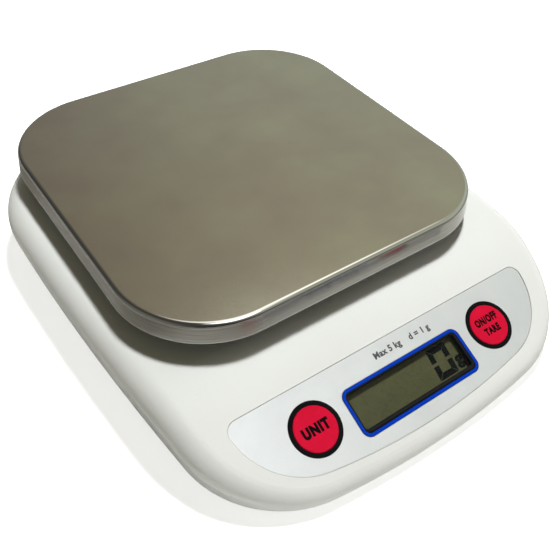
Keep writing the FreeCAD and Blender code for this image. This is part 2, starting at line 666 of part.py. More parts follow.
def housing_screws():
    screws = []
    for x, y in both_sides(HOUSING_SCREW_PLACES):
        screws.append(screw(V(x, y, HOUSING_SCREW_SEAT_Z), Z_AXIS, HOUSING_SCREW_RADIUS,
                            HOUSING_SCREW_LENGTH, HOUSING_SCREW_HEAD_RADIUS,
                            HOUSING_SCREW_HEAD_HEIGHT))
    return group(screws)


def pan_prism(growth, bottom, top):
    side = 2 * (PAN_HALF_WIDTH + growth)
    return block(side, side, 0, PAN_CENTRE_Y, bottom, top, PAN_CORNER_RADIUS + growth)


def top_rounded(shape, rounding):
    top = shape.BoundBox.ZMax
    rim = [edge for edge in shape.Edges if edge.BoundBox.ZMin > top - rounding / 2]
    return shape.makeFillet(rounding, rim)


def pan_form(growth, top, rounding):
    """Rounded square that flares towards the pan's lower edge, its top edge rounded."""
    below = pan_prism(growth + PAN_FLARE, PAN_EDGE_Z, top)
    above = pan_prism(growth, PAN_EDGE_Z, top)
    lower = min(below.Faces, key=lambda face: face.CenterOfMass.z)
    upper = max(above.Faces, key=lambda face: face.CenterOfMass.z)
    form = Part.makeLoft([lower.OuterWire, upper.OuterWire], True, True)
    return top_rounded(form, rounding)


def pan():
    """Pressed sheet pan with its flared skirt, whose lower edge is a little rounded."""
    outer = pan_form(0, TOTAL_HEIGHT, PAN_ROUNDING)
    rim = [edge for edge in outer.Edges if edge.BoundBox.ZMax < PAN_EDGE_Z + PAN_EDGE_ROUNDING]
    outer = outer.makeFillet(PAN_EDGE_ROUNDING, rim)
    return outer.cut(pan_form(-PAN_SHEET, PAN_UNDERSIDE_Z, PAN_ROUNDING - PAN_SHEET))


def pad_places():
    places = both_sides(((PAD_REACH, PAD_REACH), (PAD_REACH, -PAD_REACH)))
    return [(x, y + PAN_CENTRE_Y) for x, y in places]


def pan_pads():
    return group([upright(PAD_RADIUS, x, y, SUPPORT_TOP_Z - PAD_SEAT, PAN_UNDERSIDE_Z)
                  for x, y in pad_places()])


def platform_support():
    """Ribbed moulding that carries the pan and stands on the load cell's free end."""
    inset = PAN_SHEET + SUPPORT_FIT
    body = pan_prism(-inset, SUPPORT_PLATE_Z - SUPPORT_RIM_DROP, SUPPORT_TOP_Z)
    rim = [edge for edge in body.Edges if edge.BoundBox.ZMin > SUPPORT_TOP_Z - SUPPORT_EDGE]
    body = body.makeChamfer(SUPPORT_EDGE, rim)
    body = body.cut(pan_prism(-inset - SUPPORT_RIM, SUPPORT_PLATE_Z - SUPPORT_RIM_DROP,
                              SUPPORT_PLATE_Z))
    spine_front = HUB_Y - HUB_LENGTH / 2
    spine_length = PAN_CENTRE_Y + PAN_HALF_WIDTH - SPINE_BACK_GAP - spine_front
    solids = [body,
              block(SPINE_WIDTH, HUB_LENGTH, 0, HUB_Y, HUB_BOTTOM_Z, SUPPORT_PLATE_Z),
              block(SPINE_WIDTH, spine_length, 0, spine_front + spine_length / 2,
                    SUPPORT_PLATE_Z - SPINE_DROP, SUPPORT_PLATE_Z)]
    for turn in RIB_TURNS:
        rib = block(2 * (PAN_HALF_WIDTH - RIB_END_GAP), RIB_THICKNESS, 0, PAN_CENTRE_Y,
                    SUPPORT_PLATE_Z - RIB_DROP, SUPPORT_PLATE_Z)
        rib.rotate(V(0, PAN_CENTRE_Y, 0), Z_AXIS, turn)
        solids.append(rib)
    cuts = [upright(PAD_RADIUS, x, y, SUPPORT_TOP_Z - PAD_SEAT, SUPPORT_TOP_Z)
            for x, y in pad_places()]
    seat_z = HUB_BOTTOM_Z + PLATFORM_SCREW_GRIP
    for y in cell_holes(CELL_FRONT_Y, 1):
        cuts.append(upright(CELL_SCREW_HEAD_RADIUS + HEAD_CLEARANCE, 0, y, seat_z, SUPPORT_TOP_Z))
        cuts.append(upright(CELL_SCREW_RADIUS + SHANK_CLEARANCE, 0, y, HUB_BOTTOM_Z, seat_z))
    return joined(solids).cut(cuts)


def cell_holes(end, inward):
    """Both screw places at one end of the load cell."""
    return [end + inward * CELL_HOLE_INSET, end + inward * (CELL_HOLE_INSET + CELL_HOLE_PITCH)]


def load_cell():
    """Aluminium bar with two cross bores and a slot, so that it bends as a parallel beam."""
    bar = block(CELL_SIDE, CELL_LENGTH, 0, PAN_CENTRE_Y, CELL_BOTTOM_Z, CELL_TOP_Z)
    middle_z = CELL_BOTTOM_Z + CELL_SIDE / 2
    cuts = [block(CELL_SIDE, 2 * CELL_BORE_SPREAD, 0, PAN_CENTRE_Y,
                  middle_z - CELL_SLOT / 2, middle_z + CELL_SLOT / 2)]
    for sign in (-1, 1):
        y = PAN_CENTRE_Y + sign * CELL_BORE_SPREAD
        cuts.append(rod(CELL_BORE_RADIUS, V(-CELL_SIDE, y, middle_z), V(CELL_SIDE, y, middle_z)))
    for y in cell_holes(CELL_BACK_Y, -1):
        cuts.append(upright(CELL_SCREW_RADIUS + SCREW_FIT, 0, y, CELL_BOTTOM_Z, CELL_TOP_Z))
    for y in cell_holes(CELL_FRONT_Y, 1):
        cuts.append(upright(CELL_SCREW_RADIUS + PLATFORM_SCREW_CLEARANCE, 0, y,
                            CELL_BOTTOM_Z, CELL_TOP_Z))
    return bar.cut(cuts)


def strain_gauges():
    gauges = []
    for sign in (-1, 1):
        y = PAN_CENTRE_Y + sign * CELL_BORE_SPREAD
        gauges.append(block(GAUGE_WIDTH, GAUGE_LENGTH, 0, y,
                            CELL_TOP_Z, CELL_TOP_Z + GAUGE_THICKNESS))
        gauges.append(block(GAUGE_WIDTH, GAUGE_LENGTH, 0, y,
                            CELL_BOTTOM_Z - GAUGE_THICKNESS, CELL_BOTTOM_Z))
    return group(gauges)


def cell_spacer(end, inward, bottom):
    """Steel plate between the load cell and what it is screwed to."""
    middle = end + inward * SPACER_LENGTH / 2
    plate = block(CELL_SIDE, SPACER_LENGTH, 0, middle, bottom, bottom + SPACER_THICKNESS)
    return plate.cut([upright(CELL_SCREW_RADIUS + SHANK_CLEARANCE, 0, y,
                              bottom, bottom + SPACER_THICKNESS)
                      for y in cell_holes(end, inward)])


def load_cell_base_spacer():
    return cell_spacer(CELL_BACK_Y, -1, CELL_BOTTOM_Z - SPACER_THICKNESS)


def load_cell_top_spacer():
    return cell_spacer(CELL_FRONT_Y, 1, CELL_TOP_Z)


def load_cell_screws():
    return group([screw(V(0, y, CELL_SCREW_SEAT_Z), Z_AXIS, CELL_SCREW_RADIUS,
                        CELL_SCREW_LENGTH, CELL_SCREW_HEAD_RADIUS, CELL_SCREW_HEAD_HEIGHT)
                  for y in cell_holes(CELL_BACK_Y, -1)])


def platform_screws():
    length = PLATFORM_SCREW_GRIP + SPACER_THICKNESS + CELL_SIDE - PLATFORM_SCREW_END_GAP
    return group([screw(V(0, y, HUB_BOTTOM_Z + PLATFORM_SCREW_GRIP), Z_AXIS * -1,
                        CELL_SCREW_RADIUS, length,
                        CELL_SCREW_HEAD_RADIUS, CELL_SCREW_HEAD_HEIGHT)
                  for y in cell_holes(CELL_FRONT_Y, 1)])


def overload_stop_screw():
    """Set screw under the free end, a hair below the bar at rest."""
    bottom = STOP_TOP_Z - STOP_LENGTH
    body = upright(CELL_SCREW_RADIUS, 0, HUB_Y, bottom, STOP_TOP_Z)
    return body.cut(upright(CELL_SCREW_RADIUS * SOCKET_SHARE, 0, HUB_Y,
                            bottom, bottom + SOCKET_DEPTH))


def panel_overlay():
    sheet = overlay_prism(0, -OVERLAY_THICKNESS, 0)
    cuts = [window_block(WINDOW_FIT, -OVERLAY_THICKNESS, 0)]
    for sign in (-1, 1):
        cuts.append(upright(KEY_RING_RADIUS + KEY_RING_FIT, sign * KEY_X, 0, -OVERLAY_THICKNESS, 0))
    return on_panel(sheet.cut(cuts))


def display_window():
    return on_panel(window_block(0, -WINDOW_THICKNESS, 0))


def display_holder():
    """Frame that sets the display in place between the panel and the board."""
    frame = block(HOLDER_WIDTH, HOLDER_HEIGHT, 0, -WINDOW_SHIFT, -BOARD_TOP, -PANEL_INNER)
    pocket = block(LCD_WIDTH + 2 * LCD_FIT, LCD_HEIGHT + 2 * LCD_FIT, 0, -WINDOW_SHIFT,
                   -BOARD_TOP, -LCD_TOP)
    opening = window_block(-HOLDER_OPENING_MARGIN, -BOARD_TOP, 0)
    return on_panel(frame.cut([pocket, opening]))


def display_glass():
    return on_panel(block(LCD_WIDTH, LCD_HEIGHT, 0, -WINDOW_SHIFT, -LCD_BACK, -LCD_TOP))


def contact_strips():
    """Elastic strips that carry the display signals to the board."""
    reach = (LCD_HEIGHT - CONTACT_STRIP_WIDTH) / 2
    return group([on_panel(block(CONTACT_STRIP_LENGTH, CONTACT_STRIP_WIDTH,
                                 0, sign * reach - WINDOW_SHIFT, -BOARD_TOP, -LCD_BACK))
                  for sign in (-1, 1)])


def main_board():
    depth = BOARD_BACK + BOARD_FRONT
    board = block(BOARD_WIDTH, depth, 0, (BOARD_BACK - BOARD_FRONT) / 2,
                  -BOARD_BOTTOM, -BOARD_TOP, BOARD_CORNER)
    holes = [upright(BOARD_SCREW_RADIUS + SHANK_CLEARANCE, x, v, -BOARD_BOTTOM, -BOARD_TOP)
             for x, v in board_screw_places()]
    return on_panel(board.cut(holes))


def board_screws():
    return group([on_panel(screw(V(x, v, -BOARD_BOTTOM), Z_AXIS, BOARD_SCREW_RADIUS,
                                 BOARD_SCREW_LENGTH, BOARD_SCREW_HEAD_RADIUS,
                                 BOARD_SCREW_HEAD_HEIGHT))
                  for x, v in board_screw_places()])


def board_chip():
    """Round resin cap over the bare chip."""
    cap = upright(CHIP_RADIUS, 0, CHIP_V, -BOARD_BOTTOM - CHIP_HEIGHT, -BOARD_BOTTOM)
    rim = [edge for edge in cap.Edges if edge.BoundBox.ZMax < -BOARD_BOTTOM - CHIP_ROUNDING]
    return on_panel(cap.makeFillet(CHIP_ROUNDING, rim))


def board_capacitors():
    return group([on_panel(upright(CAPACITOR_RADIUS, x, CAPACITOR_V,
                                   -BOARD_BOTTOM - CAPACITOR_HEIGHT, -BOARD_BOTTOM))
                  for x in CAPACITOR_X])


def board_crystal():
    return on_panel(block(CRYSTAL_LENGTH, CRYSTAL_WIDTH, CRYSTAL_X, CRYSTAL_V,
                          -BOARD_BOTTOM - CRYSTAL_HEIGHT, -BOARD_BOTTOM, CRYSTAL_CORNER))


def key_cap(x):
    """Round key with a crowned face and a flange that keeps it under its ring."""
    radius = KEY_RING_RADIUS - KEY_RING_WIDTH - KEY_GAP
    cap = upright(radius, x, 0, -KEY_FLANGE_TOP, KEY_STAND)
    rim = [edge for edge in cap.Edges if edge.BoundBox.ZMin > 0 and edge.BoundBox.ZLength < KEY_GAP]
    cap = cap.makeFillet(KEY_CROWN, rim)
    flange = upright(KEY_RING_RADIUS - KEY_FLANGE_INSET, x, 0, -KEY_FLANGE_BOTTOM, -KEY_FLANGE_TOP)
    return on_panel(cap.fuse(flange).removeSplitter())


def key_ring(x):
    """Black ring around a key, set in the panel."""
    ring = upright(KEY_RING_RADIUS, x, 0, -PANEL_INNER, KEY_RING_STAND)
    bore = upright(KEY_RING_RADIUS - KEY_RING_WIDTH, x, 0, -PANEL_INNER, KEY_RING_STAND)
    return on_panel(ring.cut(bore))


def key_switch(x):
    """Body of the small push switch under a key."""
    body = block(SWITCH_SIZE, SWITCH_SIZE, x, 0, -BOARD_TOP, -SWITCH_TOP)
    well_bottom = SWITCH_STEM_BOTTOM + KEY_TRAVEL + SWITCH_FLOOR_GAP
    well = upright(SWITCH_STEM_RADIUS + SWITCH_STEM_FIT, x, 0, -well_bottom, -SWITCH_TOP)
    return on_panel(body.cut(well))


def key_switch_stem(x):
    return on_panel(upright(SWITCH_STEM_RADIUS, x, 0, -SWITCH_STEM_BOTTOM, -KEY_FLANGE_BOTTOM))


def battery(y, turned):
    """AA battery with its nub to the right, or to the left if turned."""
    can_length = BATTERY_LENGTH - NUB_LENGTH
    start = -BAY_HALF_LENGTH + CONTACT_THICKNESS + leaf_height()
    can = rod(BATTERY_RADIUS, V(start, y, BATTERY_Z), V(start + can_length, y, BATTERY_Z))
    can = can.makeFillet(BATTERY_ROUNDING, [edge for edge in can.Edges
                                            if edge.BoundBox.XLength < BATTERY_ROUNDING])
    nub = rod(NUB_RADIUS, V(start + can_length, y, BATTERY_Z),
              V(start + BATTERY_LENGTH, y, BATTERY_Z))
    shape = can.fuse(nub)
    if turned:
        turned_about(shape, y)
    return shape


def spare_room():
    """Length of the bay that the battery and the two end plates leave free."""
    return 2 * (BAY_HALF_LENGTH - CONTACT_THICKNESS) - BATTERY_LENGTH


def leaf_height():
    return spare_room() * LEAF_ROOM_SHARE


def dimple_height():
    return spare_room() - leaf_height()


def battery_front():
    return battery(BAY_Y - BATTERY_PITCH / 2, False)


def battery_back():
    return battery(BAY_Y + BATTERY_PITCH / 2, True)


def contact_plate(x, y, width):
    return block(CONTACT_THICKNESS, width, x, y,
                 BATTERY_Z - CONTACT_SIZE / 2, BATTERY_Z + CONTACT_SIZE / 2)


def contact_leaf(y):
    """Bowed leaf that stands on the left end plate and presses on a battery's flat end."""
    x = -BAY_HALF_LENGTH + CONTACT_THICKNESS
    radius = leaf_height() - LEAF_END_GAP
    front = V(x, y - LEAF_WIDTH / 2, BATTERY_Z)
    back = V(x, y + LEAF_WIDTH / 2, BATTERY_Z)
    bow = rod(radius, front, back).cut(rod(radius - CONTACT_THICKNESS, front, back))
    right_half = block(radius, LEAF_WIDTH, x + radius / 2, y, BATTERY_Z - radius, BATTERY_Z + radius)
    return bow.common(right_half)


def contact_dimple(y):
    """Raised button that meets the nub of a battery, on the right end plate."""
    x = BAY_HALF_LENGTH - CONTACT_THICKNESS
    return rod(CONTACT_DIMPLE_RADIUS, V(x, y, BATTERY_Z), V(x - dimple_height(), y, BATTERY_Z))


def turned_about(shape, y):
    return shape.rotate(V(0, y, BATTERY_Z), Z_AXIS, 180)


def battery_minus_contact():
    y = BAY_Y - BATTERY_PITCH / 2
    plate = contact_plate(-BAY_HALF_LENGTH + CONTACT_THICKNESS / 2, y, CONTACT_SIZE)
    return joined([plate, contact_leaf(y)])


def battery_plus_contact():
    y = BAY_Y + BATTERY_PITCH / 2
    plate = contact_plate(-BAY_HALF_LENGTH + CONTACT_THICKNESS / 2, y, CONTACT_SIZE)
    dimple = contact_dimple(y)
    turned_about(dimple, y)
    return plate.fuse(dimple)


def battery_bridge_contact():
    """One plate that joins both batteries, with a leaf and a button on it."""
    plate = contact_plate(BAY_HALF_LENGTH - CONTACT_THICKNESS / 2, BAY_Y,
                          BATTERY_PITCH + CONTACT_SIZE)
    plate = plate.fuse(contact_dimple(BAY_Y - BATTERY_PITCH / 2))
    y = BAY_Y + BATTERY_PITCH / 2
    leaf = contact_leaf(y)
    turned_about(leaf, y)
    return joined([plate, leaf])


def battery_cover():
    """Flush cover with two tabs in front and a spring catch at the back."""
    top = BASE_BOTTOM_Z + COVER_THICKNESS
    shrink = COVER_LEDGE - COVER_GAP
    half_depth = BAY_HALF_DEPTH + shrink
    solids = [block(2 * (BAY_HALF_LENGTH + shrink), 2 * half_depth, 0, BAY_Y,
                    BASE_BOTTOM_Z, top, COVER_CORNER)]
    front_y = BAY_Y - half_depth
    tab_bottom = top + COVER_LEDGE_GAP + TAB_LIFT
    tab_length = TAB_REACH + TAB_INSIDE
    for sign in (-1, 1):
        solids.append(block(TAB_WIDTH, tab_length, sign * TAB_X,
                            front_y - TAB_REACH + tab_length / 2,
                            tab_bottom, tab_bottom + TAB_THICKNESS))
        solids.append(block(TAB_WIDTH, TAB_ROOT, sign * TAB_X,
                            front_y + TAB_INSIDE - TAB_ROOT / 2,
                            BASE_BOTTOM_Z, tab_bottom + TAB_THICKNESS))
    back_y = BAY_Y + half_depth
    cuts = []
    for sign in (-1, 1):
        cuts.append(block(CATCH_SLIT, 2 * CATCH_LENGTH, sign * CATCH_WIDTH / 2, back_y,
                          BASE_BOTTOM_Z, top))
    scoop_y = back_y - CATCH_LENGTH
    scoop_z = BASE_BOTTOM_Z - CATCH_SCOOP_RADIUS + CATCH_SCOOP_DEPTH
    cuts.append(rod(CATCH_SCOOP_RADIUS, V(-CATCH_SCOOP_WIDTH / 2, scoop_y, scoop_z),
                    V(CATCH_SCOOP_WIDTH / 2, scoop_y, scoop_z)))
    return joined(solids).cut(cuts)


def lead(radius, points):
    """Round wire along straight runs joined by tangent bends."""
    edges = []
    start = points[0]
    for before, corner, after in zip(points, points[1:], points[2:]):
        back = (before - corner).normalize()
        ahead = (after - corner).normalize()
        half = back.getAngle(ahead) / 2
        cut = LEAD_BEND / math.tan(half)
        bend_in = corner + back * cut
        bend_out = corner + ahead * cut
        centre = corner + (back + ahead).normalize() * (LEAD_BEND / math.sin(half))
        edges.append(Part.makeLine(start, bend_in))
        edges.append(arc(centre, LEAD_BEND, bend_in, bend_out))
        start = bend_out
    edges.append(Part.makeLine(start, points[-1]))
    section = Part.Wire(Part.makeCircle(radius, points[0], points[1] - points[0]))
    return Part.Wire(edges).makePipeShell([section], True, False)


def lead_to_board(radius, start, run_x):
    """Lead that goes sideways, then forward, then up to the underside of the board."""
    pad = panel_point(run_x, LEAD_PAD_V, BOARD_BOTTOM)
    below = panel_point(run_x, LEAD_PAD_V, BOARD_BOTTOM + LEAD_DROP)
    corner = V(run_x, below.y, LEAD_Z)
    bend = V(run_x, start.y, LEAD_Z)
    run = [start, bend, corner + V(0, LEAD_BEND, 0), below, pad]
    return lead(radius, run)


def battery_lead_red():
    return lead_to_board(LEAD_RADIUS, V(-BAY_HALF_LENGTH, BAY_Y + BATTERY_PITCH / 2, LEAD_Z),
                         RED_LEAD_X)


def battery_lead_black():
    return lead_to_board(LEAD_RADIUS, V(-BAY_HALF_LENGTH, BAY_Y - BATTERY_PITCH / 2, LEAD_Z),
                         BLACK_LEAD_X)


def load_cell_cable():
    return lead_to_board(CABLE_RADIUS, V(CELL_SIDE / 2, CABLE_START_Y, LEAD_Z), CABLE_X)


NODES = {
    "upper_housing": upper_housing,
    "lower_housing": lower_housing,
    "rubber_feet": rubber_feet,
    "housing_screws": housing_screws,
    "pan": pan,
    "pan_pads": pan_pads,
    "platform_support": platform_support,
    "platform_screws": platform_screws,
    "load_cell": load_cell,
    "strain_gauges": strain_gauges,
    "load_cell_base_spacer": load_cell_base_spacer,
    "load_cell_top_spacer": load_cell_top_spacer,
    "load_cell_screws": load_cell_screws,
    "overload_stop_screw": overload_stop_screw,
    "load_cell_cable": load_cell_cable,
    "panel_overlay": panel_overlay,
    "display_window": display_window,
    "display_holder": display_holder,
    "display_glass": display_glass,
    "contact_strips": contact_strips,
    "main_board": main_board,
    "board_screws": board_screws,
    "board_chip": board_chip,
    "board_capacitors": board_capacitors,
    "board_crystal": board_crystal,
    "unit_key": lambda: key_cap(-KEY_X),
    "power_key": lambda: key_cap(KEY_X),
    "unit_key_ring": lambda: key_ring(-KEY_X),
    "power_key_ring": lambda: key_ring(KEY_X),
    "unit_key_switch": lambda: key_switch(-KEY_X),
    "power_key_switch": lambda: key_switch(KEY_X),
    "unit_switch_stem": lambda: key_switch_stem(-KEY_X),
    "power_switch_stem": lambda: key_switch_stem(KEY_X),
    "battery_cover": battery_cover,
    "battery_front": battery_front,
    "battery_back": battery_back,
    "battery_minus_contact": battery_minus_contact,
    "battery_plus_contact": battery_plus_contact,
    "battery_bridge_contact": battery_bridge_contact,
    "battery_lead_red": battery_lead_red,
    "battery_lead_black": battery_lead_black,
}

os.makedirs("parts", exist_ok=True)
for name, build in NODES.items():
    shape = build()
    if not shape.isValid():
        raise ValueError(name + " is not a valid solid")
    shape.exportStep("parts/" + name + ".step")
    print(name, len(shape.Solids), round(shape.Volume, 1))
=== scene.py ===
import math

import bmesh
import bpy
from mathutils import Matrix, Vector


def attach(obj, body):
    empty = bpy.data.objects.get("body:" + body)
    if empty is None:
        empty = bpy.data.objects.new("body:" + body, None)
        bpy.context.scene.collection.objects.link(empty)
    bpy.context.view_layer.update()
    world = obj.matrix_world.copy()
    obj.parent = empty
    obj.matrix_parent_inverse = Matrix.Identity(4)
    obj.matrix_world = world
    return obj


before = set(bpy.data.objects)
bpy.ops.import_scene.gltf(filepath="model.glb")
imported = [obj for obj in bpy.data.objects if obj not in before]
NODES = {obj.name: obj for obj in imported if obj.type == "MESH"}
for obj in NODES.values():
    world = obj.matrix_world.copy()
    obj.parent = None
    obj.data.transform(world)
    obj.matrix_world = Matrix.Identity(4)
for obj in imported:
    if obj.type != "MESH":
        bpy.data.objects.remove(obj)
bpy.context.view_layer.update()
MM = 0.001
WHITE = (1.0, 1.0, 1.0)
NO_STRETCH = (1.0, 1.0, 1.0)


def link_object(name, data):
    """A new object in the scene."""
    item = bpy.data.objects.new(name, data)
    bpy.context.scene.collection.objects.link(item)
    return item


# ---------------------------------------------------------------- camera
# Place, axes and lens were solved from the square pan.

CAMERA_PLACE = Vector((-0.126218, -0.174644, 0.210697))
CAMERA_RIGHT = Vector((0.818208, -0.574055, 0.031572))
CAMERA_UP = Vector((0.391369, 0.596368, 0.700839))
CAMERA_BACK = CAMERA_RIGHT.cross(CAMERA_UP)
LENS = 45.293
SENSOR_WIDTH = 36.0
CLIP_NEAR, CLIP_FAR = 0.01, 20.0


def make_camera():
    data = bpy.data.cameras.new("camera")
    data.lens = LENS
    data.sensor_width = SENSOR_WIDTH
    data.sensor_fit = "HORIZONTAL"
    data.clip_start, data.clip_end = CLIP_NEAR, CLIP_FAR
    camera = link_object("camera", data)
    rotation = Matrix((CAMERA_RIGHT, CAMERA_UP, CAMERA_BACK)).transposed()
    camera.matrix_world = Matrix.Translation(CAMERA_PLACE) @ rotation.to_4x4()
    bpy.context.scene.camera = camera


make_camera()

# ---------------------------------------------------------------- node helpers

NOISE_ROUGHNESS = 0.55
NOISE_MIDDLE = (0.3, 0.7)


def add(tree, kind, settings=None, inputs=None):
    """A shader node; an input that is a socket is linked, any other value is set."""
    node = tree.nodes.new("ShaderNode" + kind)
    for key, value in (settings or {}).items():
        setattr(node, key, value)
    for key, value in (inputs or {}).items():
        socket = node.inputs[key]
        if isinstance(value, bpy.types.NodeSocket):
            tree.links.new(value, socket)
        else:
            socket.default_value = value
    return node


def math_node(tree, operation, *values):
    return add(tree, "Math", {"operation": operation}, dict(enumerate(values))).outputs[0]


def vector_node(tree, operation, inputs):
    """All outputs of a vector operation."""
    return add(tree, "VectorMath", {"operation": operation}, inputs).outputs


def place_mm(tree, stretch=NO_STRETCH):
    """The place on the object in millimetres, stretched along its axes."""
    object_place = add(tree, "TexCoord").outputs["Object"]
    scale = tuple(s / MM for s in stretch)
    return vector_node(tree, "MULTIPLY", {0: object_place, 1: scale})[0]


def axis_mm(tree, axis):
    """The place along one axis of the object in millimetres."""
    return add(tree, "SeparateXYZ", None, {0: place_mm(tree)}).outputs[axis]


def noise(tree, size, detail=2.0, stretch=NO_STRETCH):
    """Noise whose blotches are about size millimetres wide before the stretch."""
    inputs = {"Vector": place_mm(tree, stretch), "Scale": 1.0 / size, "Detail": detail,
              "Roughness": NOISE_ROUGHNESS}
    return add(tree, "TexNoise", None, inputs).outputs["Fac"]


def bands(tree, scale, distortion):
    """Bands across the X axis, each pi / (10 * scale) millimetres wide."""
    settings = {"wave_type": "BANDS", "bands_direction": "X"}
    inputs = {"Vector": place_mm(tree), "Scale": scale, "Distortion": distortion}
    return add(tree, "TexWave", settings, inputs).outputs["Fac"]


def levels(tree, value, low, high, source=NOISE_MIDDLE, curve="LINEAR"):
    """The value spread from the source range over low to high."""
    inputs = {"Value": value, "From Min": source[0], "From Max": source[1],
              "To Min": low, "To Max": high}
    return add(tree, "MapRange", {"interpolation_type": curve}, inputs).outputs[0]


def between(tree, factor, first, second):
    """A colour between two colours, either of them a socket or three numbers."""
    values = [c if isinstance(c, bpy.types.NodeSocket) else (*c, 1.0) for c in (first, second)]
    mix = add(tree, "Mix", {"data_type": "RGBA"}, {"Factor": factor, 6: values[0], 7: values[1]})
    return mix.outputs[2]


def between_values(tree, factor, first, second):
    """A value between two values."""
    inputs = {"Factor": factor, "A": first, "B": second}
    return add(tree, "Mix", {"data_type": "FLOAT"}, inputs).outputs[0]


def ramp(tree, factor, stops):
    """A colour ramp; each stop is a place and a colour."""
    node = add(tree, "ValToRGB", None, {"Fac": factor})
    elements = node.color_ramp.elements
    while len(elements) < len(stops):
        elements.new(0.5)
    for element, (place, color) in zip(elements, stops):
        element.position = place
        element.color = (*color, 1.0)
    return node.outputs["Color"]


def bump(tree, height, depth_mm, normal=None):
    """A normal bent by a height, on top of another normal if there is one."""
    inputs = {"Height": height, "Distance": depth_mm * MM, "Strength": 1.0}
    if normal is not None:
        inputs["Normal"] = normal
    return add(tree, "Bump", None, inputs).outputs["Normal"]


def to_output(tree, kind, shader):
    """The end of a tree, which shows the shader."""
    tree.links.new(shader.outputs[0], add(tree, kind).inputs["Surface"])


def new_tree(name):
    """A material and its tree, still empty."""
    material = bpy.data.materials.new(name)
    material.use_nodes = True
    material.node_tree.nodes.clear()
    return material, material.node_tree


def shade(tree, color, roughness, normal=None, **constants):
    """The shader itself; constants are sockets by name with _ for a space."""
    inputs = {"Base Color": color, "Roughness": roughness}
    if normal is not None:
        inputs["Normal"] = normal
    inputs.update({key.replace("_", " "): value for key, value in constants.items()})
    to_output(tree, "OutputMaterial", add(tree, "BsdfPrincipled", None, inputs))


# ---------------------------------------------------------------- world, floor and lamps


def grey(tone):
    return (tone, tone, tone)


# The mirrored room from its left (0) to its right (1)
ROOM_SIDE = (
    (0.0, grey(0.20)), (0.20, grey(0.06)), (0.40, grey(0.10)),
    (0.605, (0.315, 0.312, 0.310)), (0.675, (0.416, 0.432, 0.415)),
    (0.735, (0.488, 0.514, 0.488)), (0.79, (0.505, 0.545, 0.515)), (1.0, (0.58, 0.63, 0.60)),
)
# Its tint, warmer as the look rises from the first height to the second
ROOM_RISE = (0.46, 0.66)
ROOM_TINT_LOW = (1.0, 0.990, 0.89)
ROOM_TINT_HIGH = (1.0, 0.910, 0.74)
# It dims to this share toward the front between these leans, lower looks first
ROOM_FRONT = (0.45, 0.80)
ROOM_FRONT_SHARE = 0.25
ROOM_FRONT_LEAN = -0.6
# Its soft round lights: direction, cosines of the outer and inner size, strength
GLOWS = (
    ((0.10, -0.35, 0.931), 0.925, 0.997, 2.7),
    ((0.311, 0.210, 0.927), 0.908, 0.990, 1.5),
)
# The even light that all rays but mirrored ones get
ROOM_FILL = (0.098, 0.090, 0.056)


def glow_toward(tree, direction, target, edge, core, strength):
    """A soft round light in the room; edge and core are cosines of its outer and inner size."""
    toward = vector_node(tree, "DOT_PRODUCT", {0: direction, 1: target})["Value"]
    return levels(tree, toward, 0.0, strength, (edge, core), "SMOOTHSTEP")


def make_world():
    """White for the camera, a dim room with two soft lights when mirrored, else even light."""
    world = bpy.data.worlds.new("studio")
    bpy.context.scene.world = world
    world.use_nodes = True
    tree = world.node_tree
    tree.nodes.clear()
    direction = add(tree, "TexCoord").outputs["Generated"]
    axes = add(tree, "SeparateXYZ", None, {0: direction}).outputs
    across = math_node(tree, "MULTIPLY_ADD", axes["X"], 0.5, 0.5)
    side = ramp(tree, across, ROOM_SIDE)
    rise = levels(tree, axes["Z"], 0.0, 1.0, ROOM_RISE)
    tint = between(tree, rise, ROOM_TINT_LOW, ROOM_TINT_HIGH)
    lean = math_node(tree, "MULTIPLY", axes["Z"], ROOM_FRONT_LEAN)
    front = math_node(tree, "SUBTRACT", lean, axes["Y"])
    share = levels(tree, front, 1.0, ROOM_FRONT_SHARE, ROOM_FRONT)
    color = vector_node(tree, "MULTIPLY", {0: side, 1: tint})[0]
    color = vector_node(tree, "SCALE", {0: color, "Scale": share})[0]
    glows = math_node(tree, "ADD", *(glow_toward(tree, direction, *glow) for glow in GLOWS))
    room = vector_node(tree, "ADD", {0: color, 1: glows})[0]
    path = add(tree, "LightPath").outputs
    unseen = between(tree, path["Is Glossy Ray"], ROOM_FILL, room)
    color = between(tree, path["Is Camera Ray"], unseen, WHITE)
    background = add(tree, "Background", None, {"Color": color, "Strength": 1.0})
    to_output(tree, "OutputWorld", background)


FLOOR_HALF = 3.0
# Just under the feet
FLOOR_Z = -0.05 * MM
# The floor glows for the camera, weaker up to the first distance and fully from the second
FLOOR_GLOW_REACH = (0.10, 0.30)
FLOOR_GLOW_NEAR = 0.66
# How much of that glow and which colour the mirrored floor has
FLOOR_GLOW_MIRRORED = 0.05
FLOOR_COLOR = (0.80, 0.80, 0.79)
FLOOR_COLOR_MIRRORED = (0.30, 0.29, 0.26)


